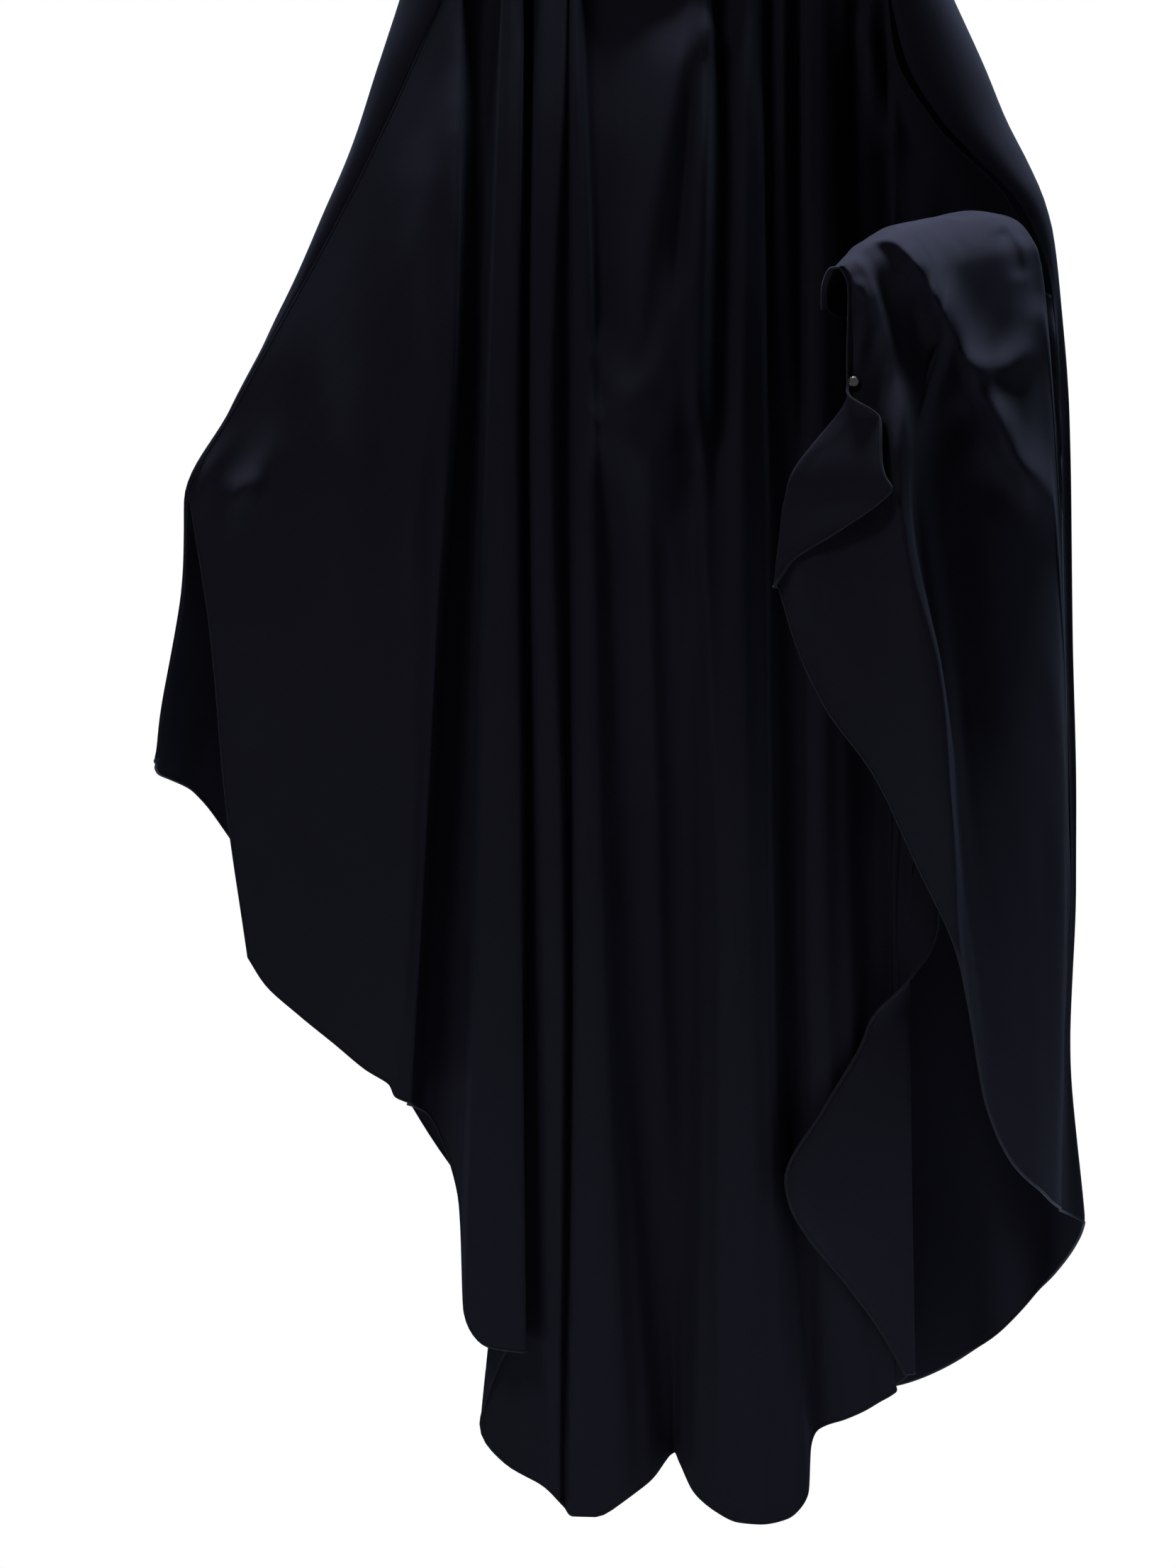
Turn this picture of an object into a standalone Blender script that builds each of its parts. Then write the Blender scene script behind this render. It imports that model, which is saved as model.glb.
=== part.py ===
"""A khimar veil as it is worn: hood, pleated front, fluted back, and a fall of cloth over one bent forearm.

The frame has its origin at the crown inside the hood, with +Z up, and the wearer looks along -Y.
Widths are shares of REACH from the body's centre line, heights are shares of FALL below SHOULDER_Z,
and depths are shares of DEPTH, negative to the front.
"""

import math

import bmesh
import bpy
import numpy as np

# Driving sizes in metres
REACH = 0.543
FALL = 1.086
DEPTH = 0.200
FOLD = 0.040
SHOULDER_DROP = 0.350
SEAM_RISE = 0.020
HEAD_WIDTH = 0.196
HEAD_DEPTH = 0.232
FACE_HEIGHT = 0.178
WALL = 0.0012
GAP = 0.0007
RING_GAP = 0.0010
TURN_RADIUS = 0.0035
SNAP_DIAMETER = 0.0090
SNAP_THICKNESS = 0.0026
SNAP_SEAT = 0.0003
SEAM_INSET = 0.0050

# How many spans each mesh has along its columns
FRONT_ROW_COUNT = 22
BACK_ROW_COUNT = 17
SLEEVE_ROW_COUNT = 17
HOOD_ROW_COUNT = 9
BACK_SPAN_COUNT = 34
SLEEVE_SPAN_COUNT = 2
FLAP_SPAN_COUNT = 5

SHOULDER_Z = -SHOULDER_DROP
RING_Z = SHOULDER_Z + SEAM_RISE
RING_HEIGHT = -SEAM_RISE / FALL

# Where along a column its stations lie
STATIONS = (0.0, 0.30, 0.65, 1.0)

# Share of the back's width that wraps each shoulder to its seam, how round its sides are (a circle has 1), and
# how its flutes grow towards the hem and fade towards the sides
WRAP = 0.08
SIDE_POWER = 0.85
FLUTE_GROWTH = 0.7
FLUTE_SPREAD = 0.5

# Height at which the seam over the held-out arm ends, and where the front stands out most
FREE_FROM = 0.351
FRONT_MIDDLE = -0.05

# Share of a column in the crook over which it leaves its seam for the hollow
CROOK_RELAX = 0.16
INSET_FADE = 0.05

# The seam over the held-out arm, and the free edge of the back below its wrist.
# Columns: height, seam across, seam depth, side across, side depth
LEFT_EDGE = (
    (-0.0185, -0.323, -0.330, -0.392, -0.050),
    (0.000, -0.340, -0.330, -0.404, -0.060),
    (0.087, -0.418, -0.330, -0.462, -0.130),
    (0.186, -0.520, -0.330, -0.540, -0.200),
    (0.288, -0.634, -0.310, -0.643, -0.220),
    (0.351, -0.697, -0.290, -0.706, -0.210),
    (0.415, -0.703, -0.190, -0.712, -0.120),
    (0.509, -0.735, -0.110, -0.744, -0.050),
    (0.560, -0.745, -0.100, -0.754, -0.040),
)

# The seam over the bent arm, and where the back meets the sleeve's fall below the elbow.
# Columns: height, edge across, edge depth, side across, side depth
RIGHT_EDGE = (
    (-0.0185, 0.290, -0.400, 0.386, -0.050),
    (0.0385, 0.318, -0.400, 0.436, -0.080),
    (0.077, 0.363, -0.390, 0.466, -0.110),
    (0.112, 0.427, -0.370, 0.500, -0.140),
    (0.1375, 0.478, -0.350, 0.521, -0.150),
    (0.160, 0.504, -0.330, 0.533, -0.150),
    (0.200, 0.528, -0.300, 0.543, -0.130),
    (0.288, 0.542, -0.290, 0.558, -0.080),
    (0.448, 0.548, -0.270, 0.562, -0.060),
    (0.624, 0.556, -0.260, 0.568, -0.060),
    (0.752, 0.546, -0.260, 0.560, -0.060),
    (0.862, 0.541, -0.260, 0.578, -0.080),
)

# Depth of the front before its pleats.
# Columns: height, left depth, middle depth, right across, right depth
FRONT_BASE = (
    (-0.0185, -0.33, -0.60, 0.290, -0.40),
    (0.087, -0.33, -0.76, 0.370, -0.12),
    (0.160, -0.33, -0.81, 0.440, 0.06),
    (0.225, -0.33, -0.84, 0.470, 0.10),
    (0.351, -0.29, -0.86, 0.420, 0.00),
    (0.562, -0.28, -0.90, 0.340, -0.46),
    (0.676, -0.30, -0.95, 0.325, -0.70),
    (0.800, -0.33, -0.97, 0.326, -0.84),
    (1.071, -0.40, -1.02, 0.330, -0.92),
)

# Columns of the front that hang from the seam over the held-out arm.
# Columns: fold, seam height, across at the three lower stations, hem height, relief at the four stations
ARM_FOLDS = (
    ("side_edge", 0.351, -0.667, -0.646, -0.613, 0.676, 0.0, 0.0, 0.0, 0.0),
    ("cuff", 0.327, -0.632, -0.613, -0.588, 0.695, 0.0, 0.10, 0.0, 0.0),
    ("outer", 0.288, -0.590, -0.562, -0.540, 0.716, 0.0, 0.10, 0.0, 0.05),
    ("outer_valley", 0.240, -0.535, -0.505, -0.490, 0.736, 0.0, -0.05, -0.10, -0.10),
    ("ridge", 0.186, -0.482, -0.455, -0.445, 0.754, 0.0, 0.20, 0.0, 0.0),
    ("soft_valley", 0.129, -0.430, -0.412, -0.410, 0.765, 0.0, -0.10, 0.05, 0.05),
    ("inner_ridge", 0.0675, -0.380, -0.378, -0.402, 0.773, 0.05, 0.20, 0.15, 0.10),
    ("inner_valley", 0.020, -0.347, -0.360, -0.390, 0.776, 0.0, 0.0, 0.0, 0.0),
    ("shoulder", -0.0185, -0.328, -0.350, -0.380, 0.778, 0.0, 0.0, -0.05, -0.1),
)

# Columns of the front that hang from the hood.
# Columns: fold, across at the four stations, hem height, relief at the four stations
RING_FOLDS = (
    ("lit_edge", -0.312, -0.318, -0.352, -0.385, 0.779, 0.0, 0.0, -0.1, -0.2),
    ("first_valley", -0.277, -0.304, -0.334, -0.358, 0.786, -0.9, -1.1, -1.3, -1.3),
    ("valley_wall", -0.259, -0.281, -0.297, -0.312, 0.850, -0.8, -0.9, -1.1, -1.1),
    ("tongue_left", -0.250, -0.268, -0.284, -0.304, 0.925, 0.0, 0.0, 0.0, 0.0),
    ("tongue_middle", -0.238, -0.254, -0.260, -0.272, 0.948, 0.15, 0.15, 0.15, 0.15),
    ("tongue_right", -0.223, -0.231, -0.225, -0.218, 0.952, 0.05, 0.05, 0.05, 0.05),
    ("return", -0.219, -0.226, -0.222, -0.236, 0.945, -0.6, -0.6, -0.6, -0.40),
    ("under_fold", -0.215, -0.221, -0.218, -0.282, 1.004, -0.9, -0.9, -0.9, -0.62),
    ("under_lobe", -0.210, -0.216, -0.212, -0.248, 1.031, -0.7, -0.75, -0.70, -0.80),
    ("lobe_left", -0.204, -0.213, -0.203, -0.198, 1.045, -0.35, -0.45, -0.50, -0.62),
    ("second_left", -0.195, -0.209, -0.195, -0.186, 1.049, 0.0, 0.0, -0.1, -0.35),
    ("second_right", -0.162, -0.181, -0.166, -0.172, 1.056, 0.05, 0.05, 0.0, -0.30),
    ("second_valley", -0.158, -0.165, -0.157, -0.163, 1.061, -0.1, -0.7, -0.7, -0.45),
    ("third_left", -0.154, -0.149, -0.148, -0.153, 1.066, 0.0, -0.1, 0.0, 0.0),
    ("third_middle", -0.148, -0.136, -0.128, -0.120, 1.066, 0.05, 0.05, 0.1, 0.15),
    ("third_right", -0.142, -0.123, -0.106, -0.075, 1.053, -0.1, 0.0, 0.0, 0.05),
    ("cowl_left", -0.130, -0.108, -0.088, -0.040, 1.040, -0.5, -0.5, -0.8, -0.4),
    ("cowl_low_left", -0.098, -0.080, -0.060, -0.015, 1.025, -0.8, -0.2, -1.0, -1.1),
    ("cowl_middle", -0.055, -0.048, -0.030, -0.008, 1.0235, -0.7, 0.0, -0.9, -1.2),
    ("cowl_right", -0.012, -0.015, 0.002, 0.000, 1.031, -0.6, -0.3, -1.2, -0.8),
    ("gather_1_left", 0.018, 0.012, 0.032, 0.018, 1.049, -0.2, -0.4, -0.5, -0.1),
    ("gather_1", 0.038, 0.030, 0.052, 0.048, 1.062, 0.2, 0.0, 0.15, 0.15),
    ("gather_gap", 0.066, 0.058, 0.075, 0.080, 1.0695, -0.5, -0.2, 0.3, 0.3),
    ("gather_2", 0.096, 0.088, 0.100, 0.115, 1.071, 0.2, 0.1, 0.3, 0.3),
    ("gather_2_right", 0.115, 0.118, 0.124, 0.152, 1.067, 0.0, -0.2, 0.0, 0.1),
    ("gap_2", 0.122, 0.132, 0.137, 0.178, 1.050, -0.5, -0.7, -0.7, -0.3),
    ("gather_3", 0.146, 0.152, 0.153, 0.182, 1.020, 0.15, -0.8, -0.9, -0.8),
    ("gap_3", 0.167, 0.170, 0.167, 0.190, 1.009, -0.4, -0.7, -0.6, -0.9),
    ("gather_4_left", 0.176, 0.182, 0.176, 0.205, 1.004, 0.0, -0.4, -0.1, -0.75),
    ("gather_4", 0.205, 0.206, 0.205, 0.230, 1.000, 0.1, -0.2, 0.1, -0.65),
    ("gather_4_right", 0.234, 0.232, 0.240, 0.258, 0.994, 0.0, -0.4, -0.1, -0.60),
    ("gap_4", 0.244, 0.255, 0.268, 0.280, 0.9875, -0.4, -0.8, -0.5, -0.55),
    ("gather_5", 0.268, 0.285, 0.285, 0.296, 0.983, 0.1, -1.0, -0.5, -0.50),
)

# Columns of the front that hang from the seam over the bent arm, in the crook.
# Columns: fold, seam height, across at the three lower stations, hem height, relief at the four stations
CROOK_FOLDS = (
    ("crook_1", -0.0185, 0.305, 0.298, 0.303, 0.980, 0.0, -1.0, -0.5, -0.5),
    ("crook_2", 0.033, 0.318, 0.306, 0.311, 0.9765, 0.0, -0.6, -0.4, -0.5),
    ("crook_3", 0.0845, 0.352, 0.313, 0.318, 0.9735, 0.0, -0.4, -0.3, -0.45),
    ("crook_4", 0.136, 0.388, 0.319, 0.324, 0.971, 0.0, -0.3, -0.25, -0.4),
    ("crook_5", 0.180, 0.415, 0.326, 0.332, 0.968, 0.0, -0.2, -0.2, -0.4),
)

# The front's free edge, which turns over to the front below the sleeve's fall.
# Columns: height, width, angle of the turn in degrees
FRONT_TURN = (
    (0.175, 0.004, -110.0),
    (0.300, 0.020, -60.0),
    (0.400, 0.030, -30.0),
    (0.640, 0.045, 0.0),
    (0.690, 0.045, 90.0),
    (0.726, 0.060, 160.0),
    (0.780, 0.125, 160.0),
    (0.832, 0.186, 160.0),
    (0.848, 0.180, 160.0),
    (0.872, 0.150, 162.0),
    (0.9025, 0.096, 166.0),
    (0.9395, 0.040, 172.0),
    (0.968, 0.008, 176.0),
)

# Where the snap closes the two side edges, and how far round it the cloth is looked at for its seat
SNAP_HEIGHT = 0.274
SNAP_REACH = 0.6 * SNAP_DIAMETER

# The bent forearm inside the cloth, from elbow to wrist.
# Columns: share of the forearm, across, height, depth, radius up, radius out (both shares of REACH)
FOREARM = (
    (0.00, 0.480, 0.1875, -0.150, 0.068, 0.068),
    (0.15, 0.450, 0.1910, -0.360, 0.085, 0.070),
    (0.35, 0.397, 0.1985, -0.620, 0.100, 0.080),
    (0.60, 0.330, 0.2060, -0.870, 0.100, 0.080),
    (0.85, 0.262, 0.2130, -1.170, 0.078, 0.050),
    (1.00, 0.220, 0.2150, -1.350, 0.044, 0.022),
)
# The cloth's arc over the forearm in degrees above the level, from its inner to its outer side, and how much
# further up the arc starts over the part of the forearm next to the elbow
INNER_ANGLE = -20.0
OUTER_ANGLE = 160.0
ELBOW_TURN = 60.0
ELBOW_SHARE = 0.4
ARC_POINT_COUNT = 7

# Share of a column that lies on the forearm, and the shares over which its swags and its join fade in
ARM_SHARE = 0.22
SWAG_FADE = 0.10
JOIN_FADE = 0.15

# Heights between which the sleeve's fall is joined to the back
JOIN_TOP = 0.205
JOIN_LOW = 0.8555

# Columns of the cloth over the bent forearm, from its wrist to the elbow.
# Columns: fold, share of the forearm, across at three lower stations, depth there, hem height
SLEEVE_FOLDS = (
    ("wrist_edge", 1.00, 0.239, 0.152, 0.134, -1.43, -1.46, -1.43, 0.416),
    ("wrist_band", 0.95, 0.253, 0.180, 0.160, -1.45, -1.49, -1.45, 0.4575),
    ("band_valley", 0.88, 0.266, 0.225, 0.200, -1.45, -1.50, -1.46, 0.500),
    ("ridge_left", 0.80, 0.278, 0.280, 0.267, -1.48, -1.53, -1.48, 0.547),
    ("ridge", 0.73, 0.296, 0.330, 0.331, -1.55, -1.60, -1.52, 0.6145),
    ("ridge_right", 0.67, 0.314, 0.366, 0.378, -1.50, -1.56, -1.50, 0.6655),
    ("deep_valley", 0.60, 0.330, 0.378, 0.402, -1.22, -1.33, -1.37, 0.715),
    ("inner_fall", 0.50, 0.375, 0.418, 0.427, -1.10, -1.20, -1.20, 0.7775),
    ("middle_fall", 0.39, 0.440, 0.465, 0.466, -0.95, -1.00, -0.98, 0.819),
    ("outer_fall", 0.28, 0.492, 0.510, 0.508, -0.75, -0.75, -0.75, 0.840),
    ("elbow_fall", 0.15, 0.528, 0.545, 0.532, -0.50, -0.50, -0.52, 0.851),
)

# The sleeve's free edge, which turns over to the front below the snap.
# Columns: height, width, angle of the turn in degrees
SLEEVE_TURN = (
    (0.2150, 0.006, 0.0),
    (0.2740, 0.006, 60.0),
    (0.3000, 0.064, 156.0),
    (0.3400, 0.136, 158.0),
    (0.3500, 0.152, 158.0),
    (0.3560, 0.142, 158.0),
    (0.3780, 0.078, 162.0),
    (0.4020, 0.012, 160.0),
    (0.4160, 0.006, 90.0),
)

# Broad folds that cross the columns.
# Columns: fold, node, path as across and height pairs, half width, relief
SWAGS = (
    ("cowl_outer", "front",
     ((0.03, 0.02), (0.02, 0.15), (0.0, 0.27), (-0.058, 0.342), (-0.105, 0.30)), 0.022, 0.55),
    ("cowl_inner", "front",
     ((0.0, 0.03), (-0.01, 0.13), (-0.03, 0.23), (-0.066, 0.298), (-0.1, 0.25)), 0.018, 0.45),
    ("wrist_lift", "front", ((-0.66, 0.335), (-0.625, 0.343), (-0.59, 0.325)), 0.022, 0.25),
    ("arm_swag", "sleeve",
     ((0.30, 0.17), (0.33, 0.20), (0.40, 0.26), (0.465, 0.32), (0.53, 0.352)), 0.034, 0.70),
    ("crook_swag", "sleeve", ((0.43, 0.262), (0.488, 0.25), (0.52, 0.22)), 0.020, 0.25),
)

# The back's flutes and hem from the held-out arm's side to the bent arm's side.
# Columns: share round the back, hem height, flute at the hem (share of FOLD)
BACK_HEM = (
    (0.000, 0.5335, 0.0),
    (0.050, 0.5380, 0.1),
    (0.110, 0.5450, 0.0),
    (0.190, 0.5560, 0.4),
    (0.270, 0.6150, -0.5),
    (0.350, 0.7100, 0.7),
    (0.430, 0.8500, -0.8),
    (0.500, 0.9500, 0.9),
    (0.570, 1.0000, -0.9),
    (0.650, 0.9950, 0.9),
    (0.730, 0.9600, -0.9),
    (0.810, 0.9150, 0.8),
    (0.880, 0.8800, -0.5),
    (0.940, 0.8620, 0.2),
    (1.000, 0.8560, 0.0),
)

# Depth of the back: height, depth behind the shoulders' line
BACK_DEPTH = (
    (-0.0185, 0.50),
    (0.10, 0.62),
    (0.30, 0.72),
    (0.60, 0.86),
    (1.03, 1.02),
)

# Loops of the hood, from the face opening to the shoulder seam.
# Columns: loop, centre depth, centre height below the crown (shares of head depth), half width (share of head
# width), half height (share of face height), tilt in degrees
HOOD_LOOPS = (
    ("face_rim", -0.395, 0.610, 0.345, 0.500, 8.0),
    ("brow", -0.280, 0.580, 0.440, 0.645, 9.0),
    ("temple", -0.130, 0.590, 0.500, 0.765, 14.0),
    ("crown", 0.000, 0.630, 0.525, 0.840, 22.0),
    ("crown_back", 0.030, 0.715, 0.545, 0.865, 35.0),
    ("nape", 0.045, 0.850, 0.580, 0.800, 50.0),
    ("neck", 0.000, 1.080, 0.730, 0.680, 68.0),
)

# Angle about the hood's middle between the last column of one panel and the first of the next
SEAM_ANGLE = 0.02

# Share of the snap's diameter left at its front, and how many places each way are looked at behind its disc
SNAP_CROWN = 0.72
SNAP_LOOK_COUNT = 9

COLOURS = {
    "hood": (0.012, 0.012, 0.016),
    "front_panel": (0.012, 0.012, 0.016),
    "back_panel": (0.010, 0.010, 0.014),
    "sleeve_drape": (0.012, 0.013, 0.018),
    "snap_button": (0.62, 0.60, 0.57),
}


def smooth(stations, values, at):
    """Values at the places in at, on a cubic through the stations that never overshoots them."""
    stations = np.asarray(stations, float)
    values = np.asarray(values, float)
    at = np.clip(np.asarray(at, float), stations[0], stations[-1])
    shape = (-1,) + (1,) * (values.ndim - 1)
    steps = np.diff(stations)
    slopes = np.diff(values, axis=0) / steps.reshape(shape)
    before, after = slopes[:-1], slopes[1:]
    agree = before * after > 0
    total = np.where(agree, before + after, 1.0)
    inner = np.where(agree, 2 * before * after / total, 0.0)
    tangents = np.concatenate([slopes[:1], inner, slopes[-1:]])
    low = np.clip(np.searchsorted(stations, at, side="right") - 1, 0, len(steps) - 1)
    step = steps[low]
    share = ((at - stations[low]) / step).reshape(at.shape + (1,) * (values.ndim - 1))
    step = step.reshape(share.shape)
    rest = 1 - share
    return (
        values[low] * (1 + 2 * share) * rest**2
        + tangents[low] * step * share * rest**2
        + values[low + 1] * (1 + 2 * rest) * share**2
        - tangents[low + 1] * step * rest * share**2
    )


def column(table, number):
    """One named column of a table, as an array."""
    return np.array([row[number] for row in table], float)


def read(table, number, height):
    """A column of a table of sections at these heights."""
    return smooth(column(table, 0), column(table, number), height)


def height_z(height):
    return SHOULDER_Z - np.asarray(height) * FALL


def left_seam(height):
    """Across and depth of the seam over the held-out arm."""
    return read(LEFT_EDGE, 1, height), read(LEFT_EDGE, 2, height)


def right_seam(height):
    """Across and depth of the seam over the bent arm, and of the join with the sleeve's fall below it."""
    return read(RIGHT_EDGE, 1, height), read(RIGHT_EDGE, 2, height)


def front_base(across, height):
    """Depth of the front before its pleats: a quarter sine from either side to the middle."""
    left, _ = left_seam(np.minimum(height, FREE_FROM))
    left_depth = read(FRONT_BASE, 1, height)
    middle_depth = read(FRONT_BASE, 2, height)
    right = read(FRONT_BASE, 3, height)
    right_depth = read(FRONT_BASE, 4, height)
    middle = FRONT_MIDDLE
    from_left = np.clip((across - left) / (middle - left), 0, 1)
    from_right = np.clip((right - across) / (right - middle), 0, 1)
    left_side = left_depth + (middle_depth - left_depth) * np.sin(from_left * math.pi / 2)
    right_side = right_depth + (middle_depth - right_depth) * np.sin(from_right * math.pi / 2)
    return np.where(across < middle, left_side, right_side)


def swag_relief(across, height, node):
    """Relief of the folds that cross the columns: a rounded ridge at each path, in shares of FOLD."""
    relief = np.zeros_like(across)
    for _, where, path, half_width, lift in SWAGS:
        if where != node:
            continue
        path = np.array(path)
        along = smooth(np.arange(len(path)), path, np.linspace(0, len(path) - 1, 200))
        apart = np.hypot(
            across[..., None] - along[:, 0], (height[..., None] - along[:, 1]) * FALL / REACH
        )
        near = apart.min(axis=-1) / half_width
        relief = relief + lift * np.exp(-(near**2))
    return relief


def place(across, height, depth):
    """Points in metres from shares."""
    return np.stack([across * REACH, depth * DEPTH, height_z(height)], axis=-1)


def turned_edge(edge, heights, table, spans):
    """Strips that carry an edge on past a fold: an arc of TURN_RADIUS, then flat for the table's width."""
    width = read(table, 1, heights) * REACH
    angle = np.radians(read(table, 2, heights))
    strips = []
    for number in range(1, spans + 1):
        share = number / spans
        turned = np.minimum(share * 2, 1.0) * angle
        flat = np.maximum(share * 2 - 1, 0.0) * width
        out = TURN_RADIUS * np.sin(np.abs(turned)) + flat * np.cos(angle)
        forward = TURN_RADIUS * (1 - np.cos(turned)) + flat * np.sin(np.abs(angle))
        strips.append(edge + np.stack([out, -np.sign(angle) * forward, np.zeros_like(out)], axis=-1))
    return strips


def front_points(rows):
    """The front as columns, from the free edge by the held-out arm to the turned edge below the bent arm."""
    share = np.linspace(0, 1, rows + 1)
    columns = []
    heights = []
    for table in (ARM_FOLDS, RING_FOLDS, CROOK_FOLDS):
        for row in table:
            if table is RING_FOLDS:
                top = RING_HEIGHT
                stations = row[1:5]
                hem = row[5]
            else:
                top = row[1]
                seam = left_seam if table is ARM_FOLDS else right_seam
                stations = (float(seam(top)[0]),) + row[2:5]
                hem = row[5]
            height = top + share * (hem - top)
            across = smooth(STATIONS, stations, share)
            relief = smooth(STATIONS, row[6:10], share)
            relief = relief + swag_relief(across, height, "front")
            depth = front_base(across, height)
            if table is CROOK_FOLDS:
                held = np.clip(1 - share / CROOK_RELAX, 0, 1) ** 2
                depth = depth + (seam(top)[1] - depth[0]) * held
            points = place(across, height, depth)
            points[:, 1] -= relief * FOLD
            if table is CROOK_FOLDS:
                points[:, 0] -= SEAM_INSET * np.clip((top - RING_HEIGHT) / INSET_FADE, 0, 1)
            if top <= RING_HEIGHT:
                points[:, 2] -= RING_GAP / 2 * (1 - share)
            columns.append(points)
            heights.append(height)
    columns += turned_edge(columns[-1], heights[-1], FRONT_TURN, FLAP_SPAN_COUNT)
    return np.array(columns)


def back_points(rows, spans):
    """The back as columns of points, round from the held-out arm's seam to the join below the bent elbow."""
    share = np.linspace(0, 1, rows + 1)[None, :]
    round_back = np.linspace(0, 1, spans + 1)[:, None]
    top = RING_HEIGHT
    hem = smooth(column(BACK_HEM, 0), column(BACK_HEM, 1), round_back[:, 0])[:, None]
    flute = smooth(column(BACK_HEM, 0), column(BACK_HEM, 2), round_back[:, 0])[:, None]
    height = top + share * (hem - top)
    wrap = WRAP
    into_left = np.clip(round_back / wrap, 0, 1) * math.pi / 2
    into_right = np.clip((1 - round_back) / wrap, 0, 1) * math.pi / 2
    behind = np.clip((round_back - wrap) / (1 - 2 * wrap), 0, 1) * math.pi
    left_x, left_y = read(LEFT_EDGE, 1, height), read(LEFT_EDGE, 2, height)
    left_side_x, left_side_y = read(LEFT_EDGE, 3, height), read(LEFT_EDGE, 4, height)
    right_x, right_y = right_seam(height)
    right_side_x, right_side_y = read(RIGHT_EDGE, 3, height), read(RIGHT_EDGE, 4, height)
    depth = read(BACK_DEPTH, 1, height)
    middle = (left_side_x + right_side_x) / 2
    half = (right_side_x - left_side_x) / 2
    side_y = left_side_y + (right_side_y - left_side_y) * behind / math.pi
    back_x = middle - half * np.sign(np.cos(behind)) * np.abs(np.cos(behind)) ** SIDE_POWER
    back_y = side_y + (depth - side_y) * np.sin(behind) ** SIDE_POWER
    across = np.where(round_back < wrap, left_x + (left_side_x - left_x) * np.sin(into_left), back_x)
    deep = np.where(round_back < wrap, left_y + (left_side_y - left_y) * (1 - np.cos(into_left)), back_y)
    joined = np.clip((height - JOIN_TOP) / JOIN_FADE + 0.5, 0, 1)
    out = np.sin(into_right) * (1 - joined) + (1 - np.cos(into_right)) * joined
    behind_edge = (1 - np.cos(into_right)) * (1 - joined) + np.sin(into_right) * joined
    across = np.where(round_back > 1 - wrap, right_x + (right_side_x - right_x) * out, across)
    deep = np.where(round_back > 1 - wrap, right_y + (right_side_y - right_y) * behind_edge, deep)
    points = place(across, height, deep)
    points[..., 1] += flute * FOLD * share**FLUTE_GROWTH * np.sin(behind) ** FLUTE_SPREAD
    points[..., 1] += (WALL + GAP) * (round_back < wrap) * np.cos(into_left)
    points[..., 0] -= (WALL + GAP) * (round_back < wrap) * np.cos(into_left)
    points[..., 0] += (WALL + GAP) * (round_back > 1 - wrap) * np.cos(into_right)
    points[..., 2] -= RING_GAP / 2 * (1 - share)
    return points


def sleeve_points(rows, spans):
    """The cloth over the bent forearm as columns, from the turned edge at the wrist to the elbow's join."""
    share = np.linspace(0, 1, rows + 1)
    along = REACH * np.array([read(FOREARM, 1, 1.0) - read(FOREARM, 1, 0.0)])
    forward = DEPTH * np.array([read(FOREARM, 3, 1.0) - read(FOREARM, 3, 0.0)])
    length = np.hypot(along, forward)
    out_x, out_y = -forward / length, along / length
    columns = []
    heights = []
    for row in SLEEVE_FOLDS:
        place_on_arm = row[1]
        centre_x = read(FOREARM, 1, place_on_arm) * REACH
        centre_z = height_z(read(FOREARM, 2, place_on_arm))
        centre_y = read(FOREARM, 3, place_on_arm) * DEPTH
        radius_up = read(FOREARM, 4, place_on_arm) * REACH
        radius_out = read(FOREARM, 5, place_on_arm) * REACH
        start = INNER_ANGLE + (ELBOW_TURN * (1 - place_on_arm) if place_on_arm < ELBOW_SHARE else 0.0)
        angle = np.radians(np.linspace(start, OUTER_ANGLE, ARC_POINT_COUNT))
        side = -np.cos(angle) * radius_out
        arc = np.stack(
            [centre_x + side * out_x, centre_y + side * out_y, centre_z + np.sin(angle) * radius_up], axis=-1
        )
        fall_share = np.array(STATIONS[1:])
        top = float(read(FOREARM, 2, place_on_arm))
        fall = place(np.array(row[2:5]), top + fall_share * (row[8] - top), np.array(row[5:8]))
        path = np.concatenate([arc, fall])
        at = np.concatenate([np.linspace(0, ARM_SHARE, len(arc)), ARM_SHARE + (1 - ARM_SHARE) * fall_share])
        points = smooth(at, path, share)
        columns.append(points)
    join_heights = JOIN_TOP + share * (JOIN_LOW - JOIN_TOP)
    join_x, join_y = right_seam(join_heights)
    join = place(join_x, join_heights, join_y)
    join[:, 1] -= GAP
    columns.append(join)
    columns = np.array(columns)
    at = np.linspace(0, len(columns) - 1, (len(columns) - 1) * spans + 1)
    columns = smooth(np.arange(len(columns)), columns, at)
    across = columns[..., 0] / REACH
    height = (SHOULDER_Z - columns[..., 2]) / FALL
    front_side = np.clip((share[None, :] - ARM_SHARE / 2) / SWAG_FADE, 0, 1)
    from_join = np.clip(np.linspace(1, 0, len(columns)) / JOIN_FADE, 0, 1)[:, None]
    columns[..., 1] -= swag_relief(across, height, "sleeve") * FOLD * front_side * from_join
    heights = (SHOULDER_Z - columns[0][:, 2]) / FALL
    strips = turned_edge(columns[0] * (-1, 1, 1), heights, SLEEVE_TURN, FLAP_SPAN_COUNT)
    strips = [strip * (-1, 1, 1) for strip in strips]
    return np.concatenate([np.array(strips[::-1]), columns])


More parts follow.
